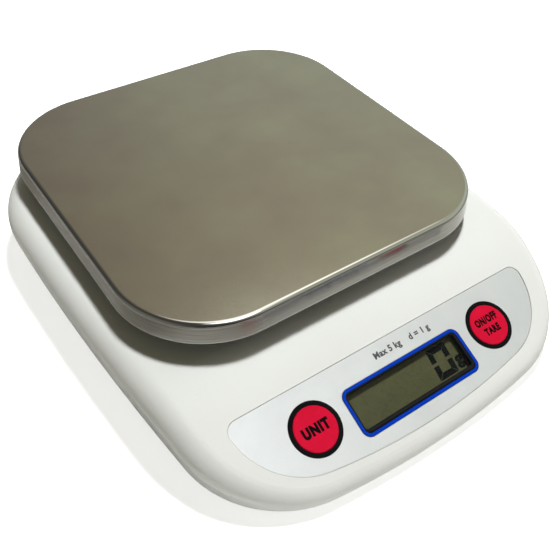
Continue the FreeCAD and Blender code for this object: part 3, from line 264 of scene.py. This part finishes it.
def make_floor():
    """Pale floor that keeps the shadow, clear from below and for the lamp under it."""
    mesh = bpy.data.meshes.new("floor")
    corners = [(x * FLOOR_HALF, y * FLOOR_HALF, FLOOR_Z)
               for x, y in ((-1, -1), (1, -1), (1, 1), (-1, 1))]
    mesh.from_pydata(corners, [], [(0, 1, 2, 3)])
    floor = link_object("floor", mesh)
    material, tree = new_tree("floor")
    place = add(tree, "TexCoord").outputs["Object"]
    far = vector_node(tree, "LENGTH", {0: place})["Value"]
    glow = levels(tree, far, FLOOR_GLOW_NEAR, 1.0, FLOOR_GLOW_REACH, "SMOOTHSTEP")
    path = add(tree, "LightPath").outputs
    mirrored = math_node(tree, "MULTIPLY", path["Is Glossy Ray"], FLOOR_GLOW_MIRRORED)
    seen = math_node(tree, "MAXIMUM", path["Is Camera Ray"], mirrored)
    seen = math_node(tree, "MAXIMUM", seen, path["Is Transmission Ray"])
    strength = math_node(tree, "MULTIPLY", glow, seen)
    pale = between(tree, path["Is Glossy Ray"], FLOOR_COLOR, FLOOR_COLOR_MIRRORED)
    diffuse = add(tree, "BsdfDiffuse", None, {"Color": pale})
    light = add(tree, "Emission", None, {"Color": (*WHITE, 1.0), "Strength": strength})
    above = add(tree, "AddShader", None, {0: diffuse.outputs[0], 1: light.outputs[0]})
    backfacing = add(tree, "NewGeometry").outputs["Backfacing"]
    open_for = math_node(tree, "MAXIMUM", backfacing, path["Is Shadow Ray"])
    clear = add(tree, "BsdfTransparent")
    total = add(tree, "MixShader", None, {0: open_for, 1: above.outputs[0], 2: clear.outputs[0]})
    to_output(tree, "OutputMaterial", total)
    mesh.materials.append(material)


# Name, place, point aimed at, width and height, watts, colour
LAMPS = (
    ("key", (0.160, 0.105, 0.77), (0, 0, 0), (0.08, 0.08), 6.0, (0.985, 0.990, 1.0)),
    ("front_fill", (-0.05, -1.00, 0.07), (0, 0, 0.02), (0.90, 0.10), 3.0, WHITE),
    ("under_fill", (0.0, 0.0, -0.80), (0, 0, 0), (0.90, 0.90), 2.2, WHITE),
    ("right_fill", (1.00, 0.05, 0.13), (0, 0, 0.02), (0.80, 0.12), 2.7, (1.0, 1.0, 0.99)),
    ("back_fill", (0.10, 1.00, 0.09), (0, 0, 0.02), (0.90, 0.12), 2.2, WHITE),
    ("left_fill", (-0.98, -0.20, 0.07), (0, 0, 0.02), (0.80, 0.10), 0.5, (0.97, 0.96, 0.99)),
)


def make_lamp(name, place, target, size, power, color):
    """A soft rectangular lamp; the mirrored room shows its own lights, so no lamp is mirrored."""
    data = bpy.data.lights.new(name, "AREA")
    data.shape = "RECTANGLE"
    data.size, data.size_y = size
    data.energy = power
    data.color = color
    lamp = link_object(name, data)
    lamp.location = place
    aim = Vector(target) - Vector(place)
    lamp.rotation_euler = aim.to_track_quat("-Z", "Y").to_euler()
    lamp.visible_glossy = False


make_world()
make_floor()
for settings in LAMPS:
    make_lamp(*settings)

# ---------------------------------------------------------------- materials

# Colours from dark to light
IVORY = ((0.765, 0.783, 0.752), (0.805, 0.820, 0.796))
BLACK_RUBBER = ((0.020, 0.020, 0.020), (0.045, 0.045, 0.045))
PAD_RUBBER = ((0.030, 0.030, 0.030), (0.060, 0.060, 0.060))
BLACK_PLASTIC = ((0.018, 0.018, 0.019), (0.034, 0.034, 0.036))
STEM_GREY = ((0.06, 0.06, 0.06), (0.10, 0.10, 0.10))
KEY_RED = ((0.600, 0.004, 0.030), (0.690, 0.006, 0.042))
KEY_BLACK = ((0.002, 0.002, 0.003), (0.006, 0.006, 0.007))
RESIN = ((0.008, 0.008, 0.008), (0.020, 0.020, 0.020))
SLEEVE_BLUE = ((0.015, 0.022, 0.075), (0.030, 0.040, 0.110))
LEAD_GREY = ((0.42, 0.42, 0.40), (0.52, 0.52, 0.50))
LEAD_RED = ((0.40, 0.010, 0.012), (0.55, 0.020, 0.022))
LEAD_BLACK = ((0.010, 0.010, 0.010), (0.022, 0.022, 0.022))
ZINC = ((0.50, 0.50, 0.51), (0.64, 0.64, 0.65))
NICKEL = ((0.66, 0.65, 0.62), (0.80, 0.79, 0.76))
BRIGHT_CAN = ((0.62, 0.62, 0.62), (0.78, 0.78, 0.78))
BLACK_STEEL = ((0.05, 0.05, 0.055), (0.10, 0.10, 0.105))
ALUMINIUM = ((0.62, 0.63, 0.65), (0.78, 0.79, 0.81))
SATIN_STEEL = ((0.473, 0.432, 0.389), (0.521, 0.509, 0.430))
# The skirt's colour is darkened as painted shade, standing in for the shadowed deck that the
# skirt mirrors
SHADE_DARKENED_SKIRT_STEEL = ((0.22, 0.21, 0.190), (0.47, 0.45, 0.410))
# Light colour of the rounding and lower edge: partly polished steel, partly a painted highlight
POLISH_AND_HIGHLIGHT_STEEL = (0.60, 0.60, 0.585)
SILVER_FILM = ((0.645, 0.675, 0.692), (0.745, 0.778, 0.794))
LENS_COLOR = (0.030, 0.034, 0.032, 1.0)
# Display colour darkened below its own grey-green as painted shade, for the shade and dark
# reflection on it
SHADE_DARKENED_LIQUID_CRYSTAL = ((0.114, 0.118, 0.052), (0.162, 0.165, 0.078))
GAUGE_FILM, GAUGE_GRID = (0.62, 0.40, 0.10), (0.72, 0.50, 0.42)
STRIP_RUBBER, STRIP_CARBON = (0.52, 0.30, 0.34), (0.05, 0.05, 0.05)
SOLDER_MASK = ((0.010, 0.115, 0.045), (0.018, 0.160, 0.065))
COPPER_TRACK = (0.060, 0.270, 0.110)
BORDER_BLUE = ((0.0005, 0.034, 0.400), (0.001, 0.050, 0.500))
# Black of the printed band, which at its right also serves as a painted shadow
MASK_AND_SHADOW_BLACK = ((0.004, 0.004, 0.005), (0.010, 0.010, 0.012))
LINING_BLACK = ((0.004, 0.004, 0.005), (0.010, 0.010, 0.011))
DIGIT_INK = ((0.002, 0.004, 0.005), (0.006, 0.009, 0.010))
LEGEND_INK = ((0.002, 0.001, 0.002), (0.006, 0.004, 0.005))
PRINT_GREY = ((0.050, 0.052, 0.056), (0.075, 0.078, 0.082))


def moulded(name, dark, light, roughness=(0.38, 0.52), grain=0.5, depth=0.02, blotch=14.0,
            **constants):
    """Moulded plastic or rubber: cloudy tone, fine grain that also sparkles in the gloss."""
    material, tree = new_tree(name)
    cloud = levels(tree, noise(tree, blotch, 4.0), 0.0, 0.75)
    speck = levels(tree, noise(tree, grain, 2.0), 0.0, 0.25)
    tone = math_node(tree, "ADD", cloud, speck)
    rough = levels(tree, noise(tree, 2.0 * grain, 3.0), *roughness)
    normal = bump(tree, noise(tree, grain, 3.0), depth)
    shade(tree, between(tree, tone, dark, light), rough, normal, **constants)
    return material


def metal(name, dark, light, roughness=(0.22, 0.38), grain=0.6, stretch=NO_STRETCH, depth=0.006):
    """Bare metal: drawn or cut grain along the short stretch, cloudy tone and gloss."""
    material, tree = new_tree(name)
    cloud = levels(tree, noise(tree, 9.0, 3.0), 0.0, 0.6)
    lines = levels(tree, noise(tree, grain, 3.0, stretch), 0.0, 0.4)
    tone = math_node(tree, "ADD", cloud, lines)
    rough = levels(tree, noise(tree, grain, 3.0, stretch), *roughness)
    normal = bump(tree, noise(tree, grain, 2.0, stretch), depth)
    shade(tree, between(tree, tone, dark, light), rough, normal, Metallic=1.0)
    return material


def shell_plastic(name):
    """Ivory housing plastic with a spark-eroded texture over a faint waviness."""
    material, tree = new_tree(name)
    cloud = levels(tree, noise(tree, 38.0, 3.0), 0.0, 0.7)
    speck = levels(tree, noise(tree, 0.55, 2.0), 0.0, 0.3)
    color = between(tree, math_node(tree, "ADD", cloud, speck), *IVORY)
    rough = levels(tree, noise(tree, 0.9, 4.0), 0.26, 0.46)
    grain = bump(tree, noise(tree, 0.42, 2.0), 0.012)
    waves = bump(tree, noise(tree, 22.0, 2.0), 0.05, grain)
    shade(tree, color, rough, waves, Specular_IOR_Level=0.40)
    return material


# Heights between which the pan's satin top, bright rounding and bright lower edge start; the
# light colour of the rounding and lower edge is partly polished steel and partly a painted
# highlight
PAN_TOP_Z = (42.44, 42.50)
PAN_CREST_Z = (40.4, 41.6)
PAN_EDGE_Z = (34.45, 35.0)
# The skirt is duller at its left by this much, which fades out between these places
DULL_X = (-56.0, -12.0)
DULL_ROUGHNESS = 0.26
CREST_ROUGHNESS = 0.06
DRAWN_STRETCH = (0.02, 0.02, 2.6)


def pan_steel():
    """Satin top, polished rounding and skirt with level drawing lines; the skirt's colour is
    darkened as painted shade, and the light rounding and lower edge are partly a painted
    highlight.
    """
    material, tree = new_tree("pan")
    top = levels(tree, axis_mm(tree, "Z"), 0.0, 1.0, PAN_TOP_Z, "SMOOTHSTEP")
    crest = levels(tree, axis_mm(tree, "Z"), 0.0, 1.0, PAN_CREST_Z)
    edge = levels(tree, axis_mm(tree, "Z"), 1.0, 0.0, PAN_EDGE_Z)
    cloud = levels(tree, noise(tree, 30.0, 3.0), 0.0, 1.0)
    speck = levels(tree, noise(tree, 0.6, 2.0), -0.15, 0.15)
    satin = between(tree, math_node(tree, "ADD", cloud, speck), *SATIN_STEEL)
    level_lines = noise(tree, 0.5, 3.0, DRAWN_STRETCH)
    # Level drawing lines over the skirt colour that is darkened as painted shade
    skirt = between(tree, levels(tree, level_lines, 0.0, 1.0), *SHADE_DARKENED_SKIRT_STEEL)
    side = between(tree, math_node(tree, "MAXIMUM", crest, edge), skirt, POLISH_AND_HIGHLIGHT_STEEL)
    color = between(tree, top, side, satin)
    rough_top = levels(tree, noise(tree, 1.2, 3.0), 0.130, 0.155)
    rough_lines = levels(tree, level_lines, 0.08, 0.13)
    dulled = levels(tree, axis_mm(tree, "X"), DULL_ROUGHNESS, 0.0, DULL_X)
    rough_skirt = math_node(tree, "ADD", rough_lines, dulled)
    rough_side = between_values(tree, crest, rough_skirt, CREST_ROUGHNESS)
    rough = between_values(tree, top, rough_side, rough_top)
    peen = math_node(tree, "MULTIPLY", noise(tree, 0.5, 2.0), top)
    drawn = math_node(tree, "MULTIPLY", level_lines, math_node(tree, "SUBTRACT", 1.0, top))
    normal = bump(tree, drawn, 0.006, bump(tree, peen, 0.002))
    shade(tree, color, rough, normal, Metallic=1.0)
    return material


def silver_film():
    """Silver-printed film of the panel: fine flake under a satin top coat."""
    material, tree = new_tree("panel_overlay")
    flake = levels(tree, noise(tree, 0.22, 2.0), 0.0, 0.45)
    cloud = levels(tree, noise(tree, 17.0, 3.0), 0.0, 0.55)
    color = between(tree, math_node(tree, "ADD", flake, cloud), *SILVER_FILM)
    rough = levels(tree, noise(tree, 1.1, 3.0), 0.38, 0.46)
    normal = bump(tree, noise(tree, 0.3, 2.0), 0.003)
    shade(tree, color, rough, normal, Metallic=0.45, Coat_Weight=0.15, Coat_Roughness=0.25)
    return material


GLASS_IOR = 1.5
# Share of the lens that covers what is behind it, from a steep to a flat look
LENS_COVER = (0.05, 0.80)
LENS_FRESNEL = (0.04, 0.6)


def clear_lens():
    """Clear lens: weak at a steep look, brighter where it is seen at a flat angle."""
    material, tree = new_tree("display_window")
    gloss = add(tree, "Fresnel", None, {"IOR": GLASS_IOR}).outputs[0]
    cloud = levels(tree, noise(tree, 6.0, 3.0), -0.01, 0.02)
    alpha = math_node(tree, "ADD", levels(tree, gloss, *LENS_COVER, LENS_FRESNEL), cloud)
    rough = levels(tree, noise(tree, 3.0, 3.0), 0.03, 0.07)
    shade(tree, LENS_COLOR, rough, None, Alpha=alpha, Specular_IOR_Level=0.5)
    return material


def liquid_crystal():
    """Grey-green reflective display with its faint rear reflector grain, its colour darkened as
    painted shade.
    """
    material, tree = new_tree("display_glass")
    speck = levels(tree, noise(tree, 0.30, 3.0), 0.0, 0.6)
    cloud = levels(tree, noise(tree, 11.0, 2.0), 0.0, 0.4)
    color = between(tree, math_node(tree, "ADD", speck, cloud), *SHADE_DARKENED_LIQUID_CRYSTAL)
    rough = levels(tree, noise(tree, 2.0, 2.0), 0.24, 0.34)
    shade(tree, color, rough, None, Specular_IOR_Level=0.2)
    return material


def printed_ink(name, dark, light, **constants):
    """Screen-printed ink, slightly uneven."""
    material, tree = new_tree(name)
    tone = levels(tree, noise(tree, 0.5, 3.0), 0.0, 1.0)
    rough = levels(tree, noise(tree, 0.8, 2.0), 0.40, 0.50)
    normal = bump(tree, noise(tree, 0.25, 2.0), 0.002)
    shade(tree, between(tree, tone, dark, light), rough, normal, **constants)
    return material


def gauge_foil():
    """Strain gauge: copper-coloured grid on an amber film."""
    material, tree = new_tree("strain_gauges")
    grid = levels(tree, bands(tree, 0.9, 0.0), 0.0, 1.0, (0.45, 0.55))
    color = between(tree, grid, GAUGE_FILM, GAUGE_GRID)
    rough = levels(tree, noise(tree, 0.4, 2.0), 0.25, 0.40)
    shade(tree, color, rough, bump(tree, grid, 0.01), Metallic=0.3)
    return material


def layered_rubber():
    """Elastic connector: conducting and insulating layers in turn."""
    material, tree = new_tree("contact_strips")
    layers = bands(tree, 2.4, 0.2)
    color = between(tree, levels(tree, layers, 0.0, 1.0, (0.4, 0.6)), STRIP_RUBBER, STRIP_CARBON)
    rough = levels(tree, noise(tree, 0.6, 2.0), 0.55, 0.75)
    shade(tree, color, rough, bump(tree, layers, 0.01))
    return material


TRACK_STRETCH = (1.0, 1.0, 0.4)
TRACK_EDGE = (0.05, 0.075)


def circuit_board():
    """Green solder mask over copper tracks."""
    material, tree = new_tree("main_board")
    settings = {"feature": "DISTANCE_TO_EDGE", "distance": "MANHATTAN"}
    inputs = {"Vector": place_mm(tree, TRACK_STRETCH), "Scale": 0.24, "Randomness": 0.8}
    cells = add(tree, "TexVoronoi", settings, inputs).outputs["Distance"]
    track = levels(tree, cells, 1.0, 0.0, TRACK_EDGE)
    cloud = levels(tree, noise(tree, 8.0, 3.0), 0.0, 1.0)
    color = between(tree, track, between(tree, cloud, *SOLDER_MASK), COPPER_TRACK)
    rough = levels(tree, noise(tree, 1.0, 2.0), 0.20, 0.34)
    shade(tree, color, rough, bump(tree, track, 0.03))
    return material


BATTERY_STEEL = (0.70, 0.70, 0.72)
BATTERY_DARK = (0.030, 0.032, 0.040)
BATTERY_COPPER = (0.62, 0.34, 0.12)
# From the minus end (0) to the plus end (1)
BATTERY_BANDS = (
    (0.0, BATTERY_STEEL), (0.012, BATTERY_DARK), (0.74, BATTERY_DARK),
    (0.745, BATTERY_COPPER), (0.955, BATTERY_COPPER), (0.96, BATTERY_STEEL),
)
BATTERY_WEAR = (0.5, 0.5, 0.5)
# The front battery's ends in millimetres; the back one lies the other way round
BATTERY_MINUS_X, BATTERY_PLUS_X = -23.58, 26.92


def battery_sleeve(name, minus_x, plus_x):
    """Dark sleeve, copper-coloured band at the plus end, bright steel ends."""
    material, tree = new_tree(name)
    along = levels(tree, axis_mm(tree, "X"), 0.0, 1.0, (minus_x, plus_x))
    wear = levels(tree, noise(tree, 3.0, 4.0), 0.0, 0.12)
    color = between(tree, wear, ramp(tree, along, BATTERY_BANDS), BATTERY_WEAR)
    rough = levels(tree, noise(tree, 2.0, 3.0), 0.20, 0.36)
    shade(tree, color, rough, bump(tree, noise(tree, 0.8, 2.0), 0.004), Metallic=0.75)
    return material


# Roughness, size of the grain, its depth and the size of the clouds
RUBBER_LOOK = ((0.65, 0.85), 0.4, 0.03)
KEY_LOOK = ((0.42, 0.52), 0.7, 0.006, 6.0)
# Grain that runs along the Y axis
BAR_STRETCH = (2.2, 0.12, 2.2)
LEAF_STRETCH = (2.0, 0.2, 2.0)
LEAD_ROUGHNESS = (0.35, 0.5)


def make_materials():
    """A material for every node, in place of the plain one that it comes with."""
    made = {
        "pan": pan_steel(),
        "panel_overlay": silver_film(),
        "display_window": clear_lens(),
        "display_glass": liquid_crystal(),
        "strain_gauges": gauge_foil(),
        "contact_strips": layered_rubber(),
        "main_board": circuit_board(),
        "battery_front": battery_sleeve("battery_front", BATTERY_MINUS_X, BATTERY_PLUS_X),
        "battery_back": battery_sleeve("battery_back", -BATTERY_MINUS_X, -BATTERY_PLUS_X),
    }
    for name in ("upper_housing", "lower_housing", "battery_cover"):
        made[name] = shell_plastic(name)

    def add_moulded(name, *look, **constants):
        made[name] = moulded(name, *look, **constants)

    def add_metal(name, *look):
        made[name] = metal(name, *look)

    add_moulded("rubber_feet", *BLACK_RUBBER, *RUBBER_LOOK)
    add_moulded("pan_pads", *PAD_RUBBER, *RUBBER_LOOK)
    add_moulded("platform_support", *BLACK_PLASTIC, (0.42, 0.58), 0.6, 0.02)
    add_moulded("load_cell_cable", *LEAD_GREY, (0.45, 0.6), 0.5, 0.01)
    add_moulded("display_holder", *BLACK_PLASTIC, (0.5, 0.65))
    add_moulded("board_chip", *RESIN, (0.12, 0.3), 1.2, 0.02)
    add_moulded("board_capacitors", *SLEEVE_BLUE, (0.2, 0.35))
    add_moulded("battery_lead_red", *LEAD_RED, LEAD_ROUGHNESS)
    add_moulded("battery_lead_black", *LEAD_BLACK, LEAD_ROUGHNESS)
    for side in ("unit", "power"):
        add_moulded(side + "_key", *KEY_RED, *KEY_LOOK, Specular_IOR_Level=0.2)
        add_moulded(side + "_key_ring", *KEY_BLACK, (0.48, 0.58), Specular_IOR_Level=0.06)
        add_moulded(side + "_key_switch", *BLACK_PLASTIC)
        add_moulded(side + "_switch_stem", *STEM_GREY)
    add_metal("load_cell", *ALUMINIUM, (0.25, 0.42), 0.5, BAR_STRETCH)
    add_metal("overload_stop_screw", *BLACK_STEEL, (0.3, 0.5))
    add_metal("board_crystal", *BRIGHT_CAN, (0.12, 0.25))
    for name in ("load_cell_base_spacer", "load_cell_top_spacer"):
        add_metal(name, *ZINC)
    for name in ("housing_screws", "platform_screws", "load_cell_screws", "board_screws"):
        add_metal(name, *ZINC, (0.25, 0.42), 0.35)
    for name in ("battery_minus_contact", "battery_plus_contact", "battery_bridge_contact"):
        add_metal(name, *NICKEL, (0.16, 0.30), 0.5, LEAF_STRETCH)
    for name, material in made.items():
        slots = NODES[name].material_slots
        if not slots:
            NODES[name].data.materials.append(material)
        for slot in slots:
            slot.material = material


make_materials()

# ---------------------------------------------------------------- pieces of the panel
# All their sizes and places are in millimetres, on the slope of the panel.

PANEL_ORIGIN = Vector((0.0, -82.65, 15.965)) * MM
PANEL_TILT = math.radians(22.8)
PANEL_ALONG = Vector((0.0, math.cos(PANEL_TILT), math.sin(PANEL_TILT)))
PANEL_OUT = Vector((0.0, -math.sin(PANEL_TILT), math.cos(PANEL_TILT)))
CORNER_STEPS = 8


def on_panel(x, v, out):
    """A point of the panel: x to the right, v up the slope, out of its face."""
    return PANEL_ORIGIN + Vector((x * MM, 0, 0)) + PANEL_ALONG * (v * MM) + PANEL_OUT * (out * MM)


def new_piece(name, mesh, body, material, smooth=True):
    """A thin piece that the scene adds, riding on a body."""
    piece = link_object(name, mesh)
    mesh.materials.append(material)
    for face in mesh.polygons:
        face.use_smooth = smooth
    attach(piece, body)


def smaller(size, inset):
    """Both sides less by the inset, or more where it is negative."""
    return (size[0] - inset, size[1] - inset)


def rounded_loop(size, radius, centre):
    """Points of a rounded rectangle on the panel, anticlockwise."""
    points = []
    for number, (sx, sy) in enumerate(((1, 1), (-1, 1), (-1, -1), (1, -1))):
        x = centre[0] + sx * (size[0] / 2 - radius)
        v = centre[1] + sy * (size[1] / 2 - radius)
        for step in range(CORNER_STEPS + 1):
            angle = math.radians(90 * (number + step / CORNER_STEPS))
            points.append((x + radius * math.cos(angle), v + radius * math.sin(angle)))
    return points


def closed_mesh(name, build):
    """The mesh of a closed build with its faces turned outward."""
    mesh = bpy.data.meshes.new(name)
    bmesh.ops.recalc_face_normals(build, faces=build.faces)
    build.to_mesh(mesh)
    build.free()
    return mesh


def ring_mesh(name, loops):
    """A closed ring swept through loops of (points, out); the last loop joins the first."""
    build = bmesh.new()
    rows = [[build.verts.new(on_panel(x, v, out)) for x, v in points] for points, out in loops]
    count = len(rows[0])
    for row, following in zip(rows, rows[1:] + rows[:1]):
        for i in range(count):
            j = (i + 1) % count
            build.faces.new((row[i], row[j], following[j], following[i]))
    return closed_mesh(name, build)


def prism_mesh(name, outlines, low, high):
    """Flat prisms on the panel between two heights over its face, one for each outline."""
    build = bmesh.new()
    for points in outlines:
        bottom = [build.verts.new(on_panel(x, v, low)) for x, v in points]
        top = [build.verts.new(on_panel(x, v, high)) for x, v in points]
        build.faces.new(top)
        build.faces.new(bottom[::-1])
        for i in range(len(points)):
            j = (i + 1) % len(points)
            build.faces.new((bottom[i], bottom[j], top[j], top[i]))
    return closed_mesh(name, build)


WINDOW_SIZE = (53.4, 17.7)
WINDOW_CENTRE = (0.0, -2.87)
WINDOW_CORNER = 3.2
BORDER_INNER = (51.0, 15.3)
BORDER_INNER_CORNER = 2.1
BORDER_CLEARANCE = 0.1
# The border's top is narrower than its foot by these sizes, and its corners tighter or wider
BORDER_TOP_OUTER_INSET = 0.4
BORDER_TOP_INNER_INSET = 0.3
BORDER_TOP_CORNER_STEP = 0.15
BORDER_FOOT, BORDER_SHOULDER, BORDER_TOP = -0.02, 0.06, 0.11


def make_window_border():
    """Blue frame printed round the lens, standing a hair proud with a rounded top."""
    outer = rounded_loop(smaller(WINDOW_SIZE, BORDER_CLEARANCE), WINDOW_CORNER, WINDOW_CENTRE)
    outer_top = rounded_loop(smaller(WINDOW_SIZE, BORDER_TOP_OUTER_INSET),
                             WINDOW_CORNER - BORDER_TOP_CORNER_STEP, WINDOW_CENTRE)
    inner_top = rounded_loop(smaller(BORDER_INNER, -BORDER_TOP_INNER_INSET),
                             BORDER_INNER_CORNER + BORDER_TOP_CORNER_STEP, WINDOW_CENTRE)
    inner = rounded_loop(BORDER_INNER, BORDER_INNER_CORNER, WINDOW_CENTRE)
    loops = [(outer, BORDER_FOOT), (outer, BORDER_SHOULDER), (outer_top, BORDER_TOP),
             (inner_top, BORDER_TOP), (inner, BORDER_SHOULDER), (inner, BORDER_FOOT)]
    material = printed_ink("window_border", *BORDER_BLUE, Specular_IOR_Level=0.15)
    mesh = ring_mesh("window_border", loops)
    new_piece("window_border", mesh, "base", material)


def flat_ring(name, outer, inner, low, high):
    """A ring with flat top and foot between two heights over the panel."""
    return ring_mesh(name, [(outer, low), (outer, high), (inner, high), (inner, low)])


MASK_OVERLAP = 0.1
MASK_OUTER_CORNER = 2.15
MASK_OPENING = (49.0, 12.9)
MASK_OPENING_CORNER = 1.0
# The opening sits left of the frame's centre, so the band is wider at the right: that extra width
# is a painted shadow
MASK_OPENING_CENTRE = (-0.45, -2.35)
MASK_LOW, MASK_HIGH = -0.015, 0.02


def make_window_mask():
    """Black band printed on the lens inside the blue frame, widest at its front; its extra width
    at the right is a painted shadow of the frame on the display.
    """
    outer = rounded_loop(smaller(BORDER_INNER, -MASK_OVERLAP), MASK_OUTER_CORNER, WINDOW_CENTRE)
    inner = rounded_loop(MASK_OPENING, MASK_OPENING_CORNER, MASK_OPENING_CENTRE)
    material = printed_ink("window_mask_and_shadow", *MASK_AND_SHADOW_BLACK, Specular_IOR_Level=0.15)
    mesh = flat_ring("window_mask_and_shadow", outer, inner, MASK_LOW, MASK_HIGH)
    new_piece("window_mask_and_shadow", mesh, "base", material)


HOUSING_OPENING = (49.8, 14.1)
LINING_CLEARANCE = 0.04
LINING_OUTER_CORNER = 1.4
LINING_OPENING = (49.35, 13.4)
LINING_OPENING_CORNER = 1.1
LINING_OPENING_CENTRE = (-0.075, -2.6)
LINING_LOW, LINING_HIGH = -2.46, -1.04


def make_display_lining():
    """Dark ring that lines the opening between lens and display."""
    outer = rounded_loop(smaller(HOUSING_OPENING, LINING_CLEARANCE), LINING_OUTER_CORNER,
                         WINDOW_CENTRE)
    inner = rounded_loop(LINING_OPENING, LINING_OPENING_CORNER, LINING_OPENING_CENTRE)
    material = moulded("display_lining", *LINING_BLACK, (0.7, 0.9), 0.3, 0.004)
    mesh = flat_ring("display_lining", outer, inner, LINING_LOW, LINING_HIGH)
    new_piece("display_lining", mesh, "base", material)


TEXT_HALF_DEPTH = 0.5
TEXT_CURVE_STEPS = 4


def text_mesh(name, words, height, centre, squeeze, bold, spacing, out, thickness):
    """Words in the built-in typeface, laid on the panel round a centre, out as their top."""
    curve = bpy.data.curves.new(name, "FONT")
    curve.body = words
    curve.size = 1.0
    curve.align_x, curve.align_y = "CENTER", "CENTER"
    curve.offset = bold
    curve.space_character = spacing
    curve.extrude = TEXT_HALF_DEPTH
    curve.resolution_u = TEXT_CURVE_STEPS
    holder = link_object(name, curve)
    bpy.context.view_layer.update()
    evaluated = holder.evaluated_get(bpy.context.evaluated_depsgraph_get())
    mesh = bpy.data.meshes.new_from_object(evaluated)
    bpy.data.objects.remove(holder)
    xs = [vertex.co.x for vertex in mesh.vertices]
    ys = [vertex.co.y for vertex in mesh.vertices]
    middle = ((min(xs) + max(xs)) / 2, (min(ys) + max(ys)) / 2)
    scale = height / (max(ys) - min(ys))
    for vertex in mesh.vertices:
        x = centre[0] + (vertex.co.x - middle[0]) * scale * squeeze
        v = centre[1] + (vertex.co.y - middle[1]) * scale
        vertex.co = on_panel(x, v, out + (vertex.co.z - TEXT_HALF_DEPTH) * thickness)
    mesh.name = name
    return mesh


DIGIT_WIDTH, DIGIT_HEIGHT = 8.8, 11.8
DIGIT_BAR = 2.3
DIGIT_CUT = 0.07
DIGIT_MIDDLE_GAP = 0.55
DIGIT_SLANT = 0.10
DIGIT_CORNER = (10.9, -8.3)
DISPLAY_TOP_OUT = -2.5
DIGIT_SUNK, DIGIT_PROUD = 0.01, 0.03
UNIT_THICKNESS = 0.04
# Words, letter height, centre, squeeze, boldness, letter spacing
DISPLAY_UNIT = ("g", 5.0, (22.3, -5.7), 1.05, 0.05, 1.0)


def zero_outlines(x0, v0):
    """The six bars of a seven-segment zero with its lower left corner at x0, v0."""
    w, h, bar, cut = DIGIT_WIDTH, DIGIT_HEIGHT, DIGIT_BAR, DIGIT_CUT
    middle = h / 2 + DIGIT_MIDDLE_GAP
    top = [(2 * cut, h), (w - 2 * cut, h), (w - bar - cut, h - bar), (bar + cut, h - bar)]
    upper_left = [(0, h - 2 * cut), (bar, h - bar - cut), (bar, middle), (0, middle)]
    upper_right = [(w - x, y) for x, y in upper_left]
    upper = [top, upper_left, upper_right]
    lower = [[(x, h - y) for x, y in outline] for outline in upper]
    return [[(x0 + x + DIGIT_SLANT * y, v0 + y) for x, y in outline] for outline in upper + lower]


def make_reading():
    """The reading 0 g, as dark segments on the display."""
    ink = printed_ink("display_digits", *DIGIT_INK, Specular_IOR_Level=0.05)
    low, high = DISPLAY_TOP_OUT - DIGIT_SUNK, DISPLAY_TOP_OUT + DIGIT_PROUD
    mesh = prism_mesh("display_digit", zero_outlines(*DIGIT_CORNER), low, high)
    new_piece("display_digit", mesh, "base", ink, smooth=False)
    mesh = text_mesh("display_unit", *DISPLAY_UNIT, high, UNIT_THICKNESS)
    new_piece("display_unit", mesh, "base", ink, smooth=False)


KEY_X = 40.1
LEGEND_OUT = 0.375
LEGEND_THICKNESS = 0.04
PRINT_OUT = 0.02
PRINT_THICKNESS = 0.03
# Name, body, slot, then words, letter height, centre, squeeze, boldness, letter spacing
KEY_LEGENDS = (
    ("unit_legend", "unit_button", "unit_key",
     ("UNIT", 3.9, (-KEY_X, 0.0), 0.84, 0.075, 1.18)),
    ("power_legend", "power_button", "power_key",
     ("ON/OFF", 3.1, (KEY_X, 2.2), 0.70, 0.065, 1.15)),
    ("tare_legend", "power_button", "power_key",
     ("TARE", 2.9, (KEY_X, -2.1), 0.76, 0.065, 1.15)),
)
CAPACITY = ("Max 5 kg    d = 1 g", 3.2, (5.0, 10.3), 0.95, 0.04, 1.08)


def make_legends():
    """Prints on the keys, which ride on them, and on the panel."""
    ink = printed_ink("legend_ink", *LEGEND_INK, Specular_IOR_Level=0.04)
    for name, body, slot, text in KEY_LEGENDS:
        mesh = text_mesh(name, *text, LEGEND_OUT, LEGEND_THICKNESS)
        new_piece(name, mesh, body, ink, smooth=False)
    panel_ink = printed_ink("panel_print", *PRINT_GREY)
    mesh = text_mesh("capacity_print", *CAPACITY, PRINT_OUT, PRINT_THICKNESS)
    new_piece("capacity_print", mesh, "base", panel_ink, smooth=False)


make_window_border()
make_window_mask()
make_display_lining()
make_reading()
make_legends()

# ---------------------------------------------------------------- end

bpy.context.scene.view_settings.view_transform = "Standard"
bpy.context.view_layer.update()
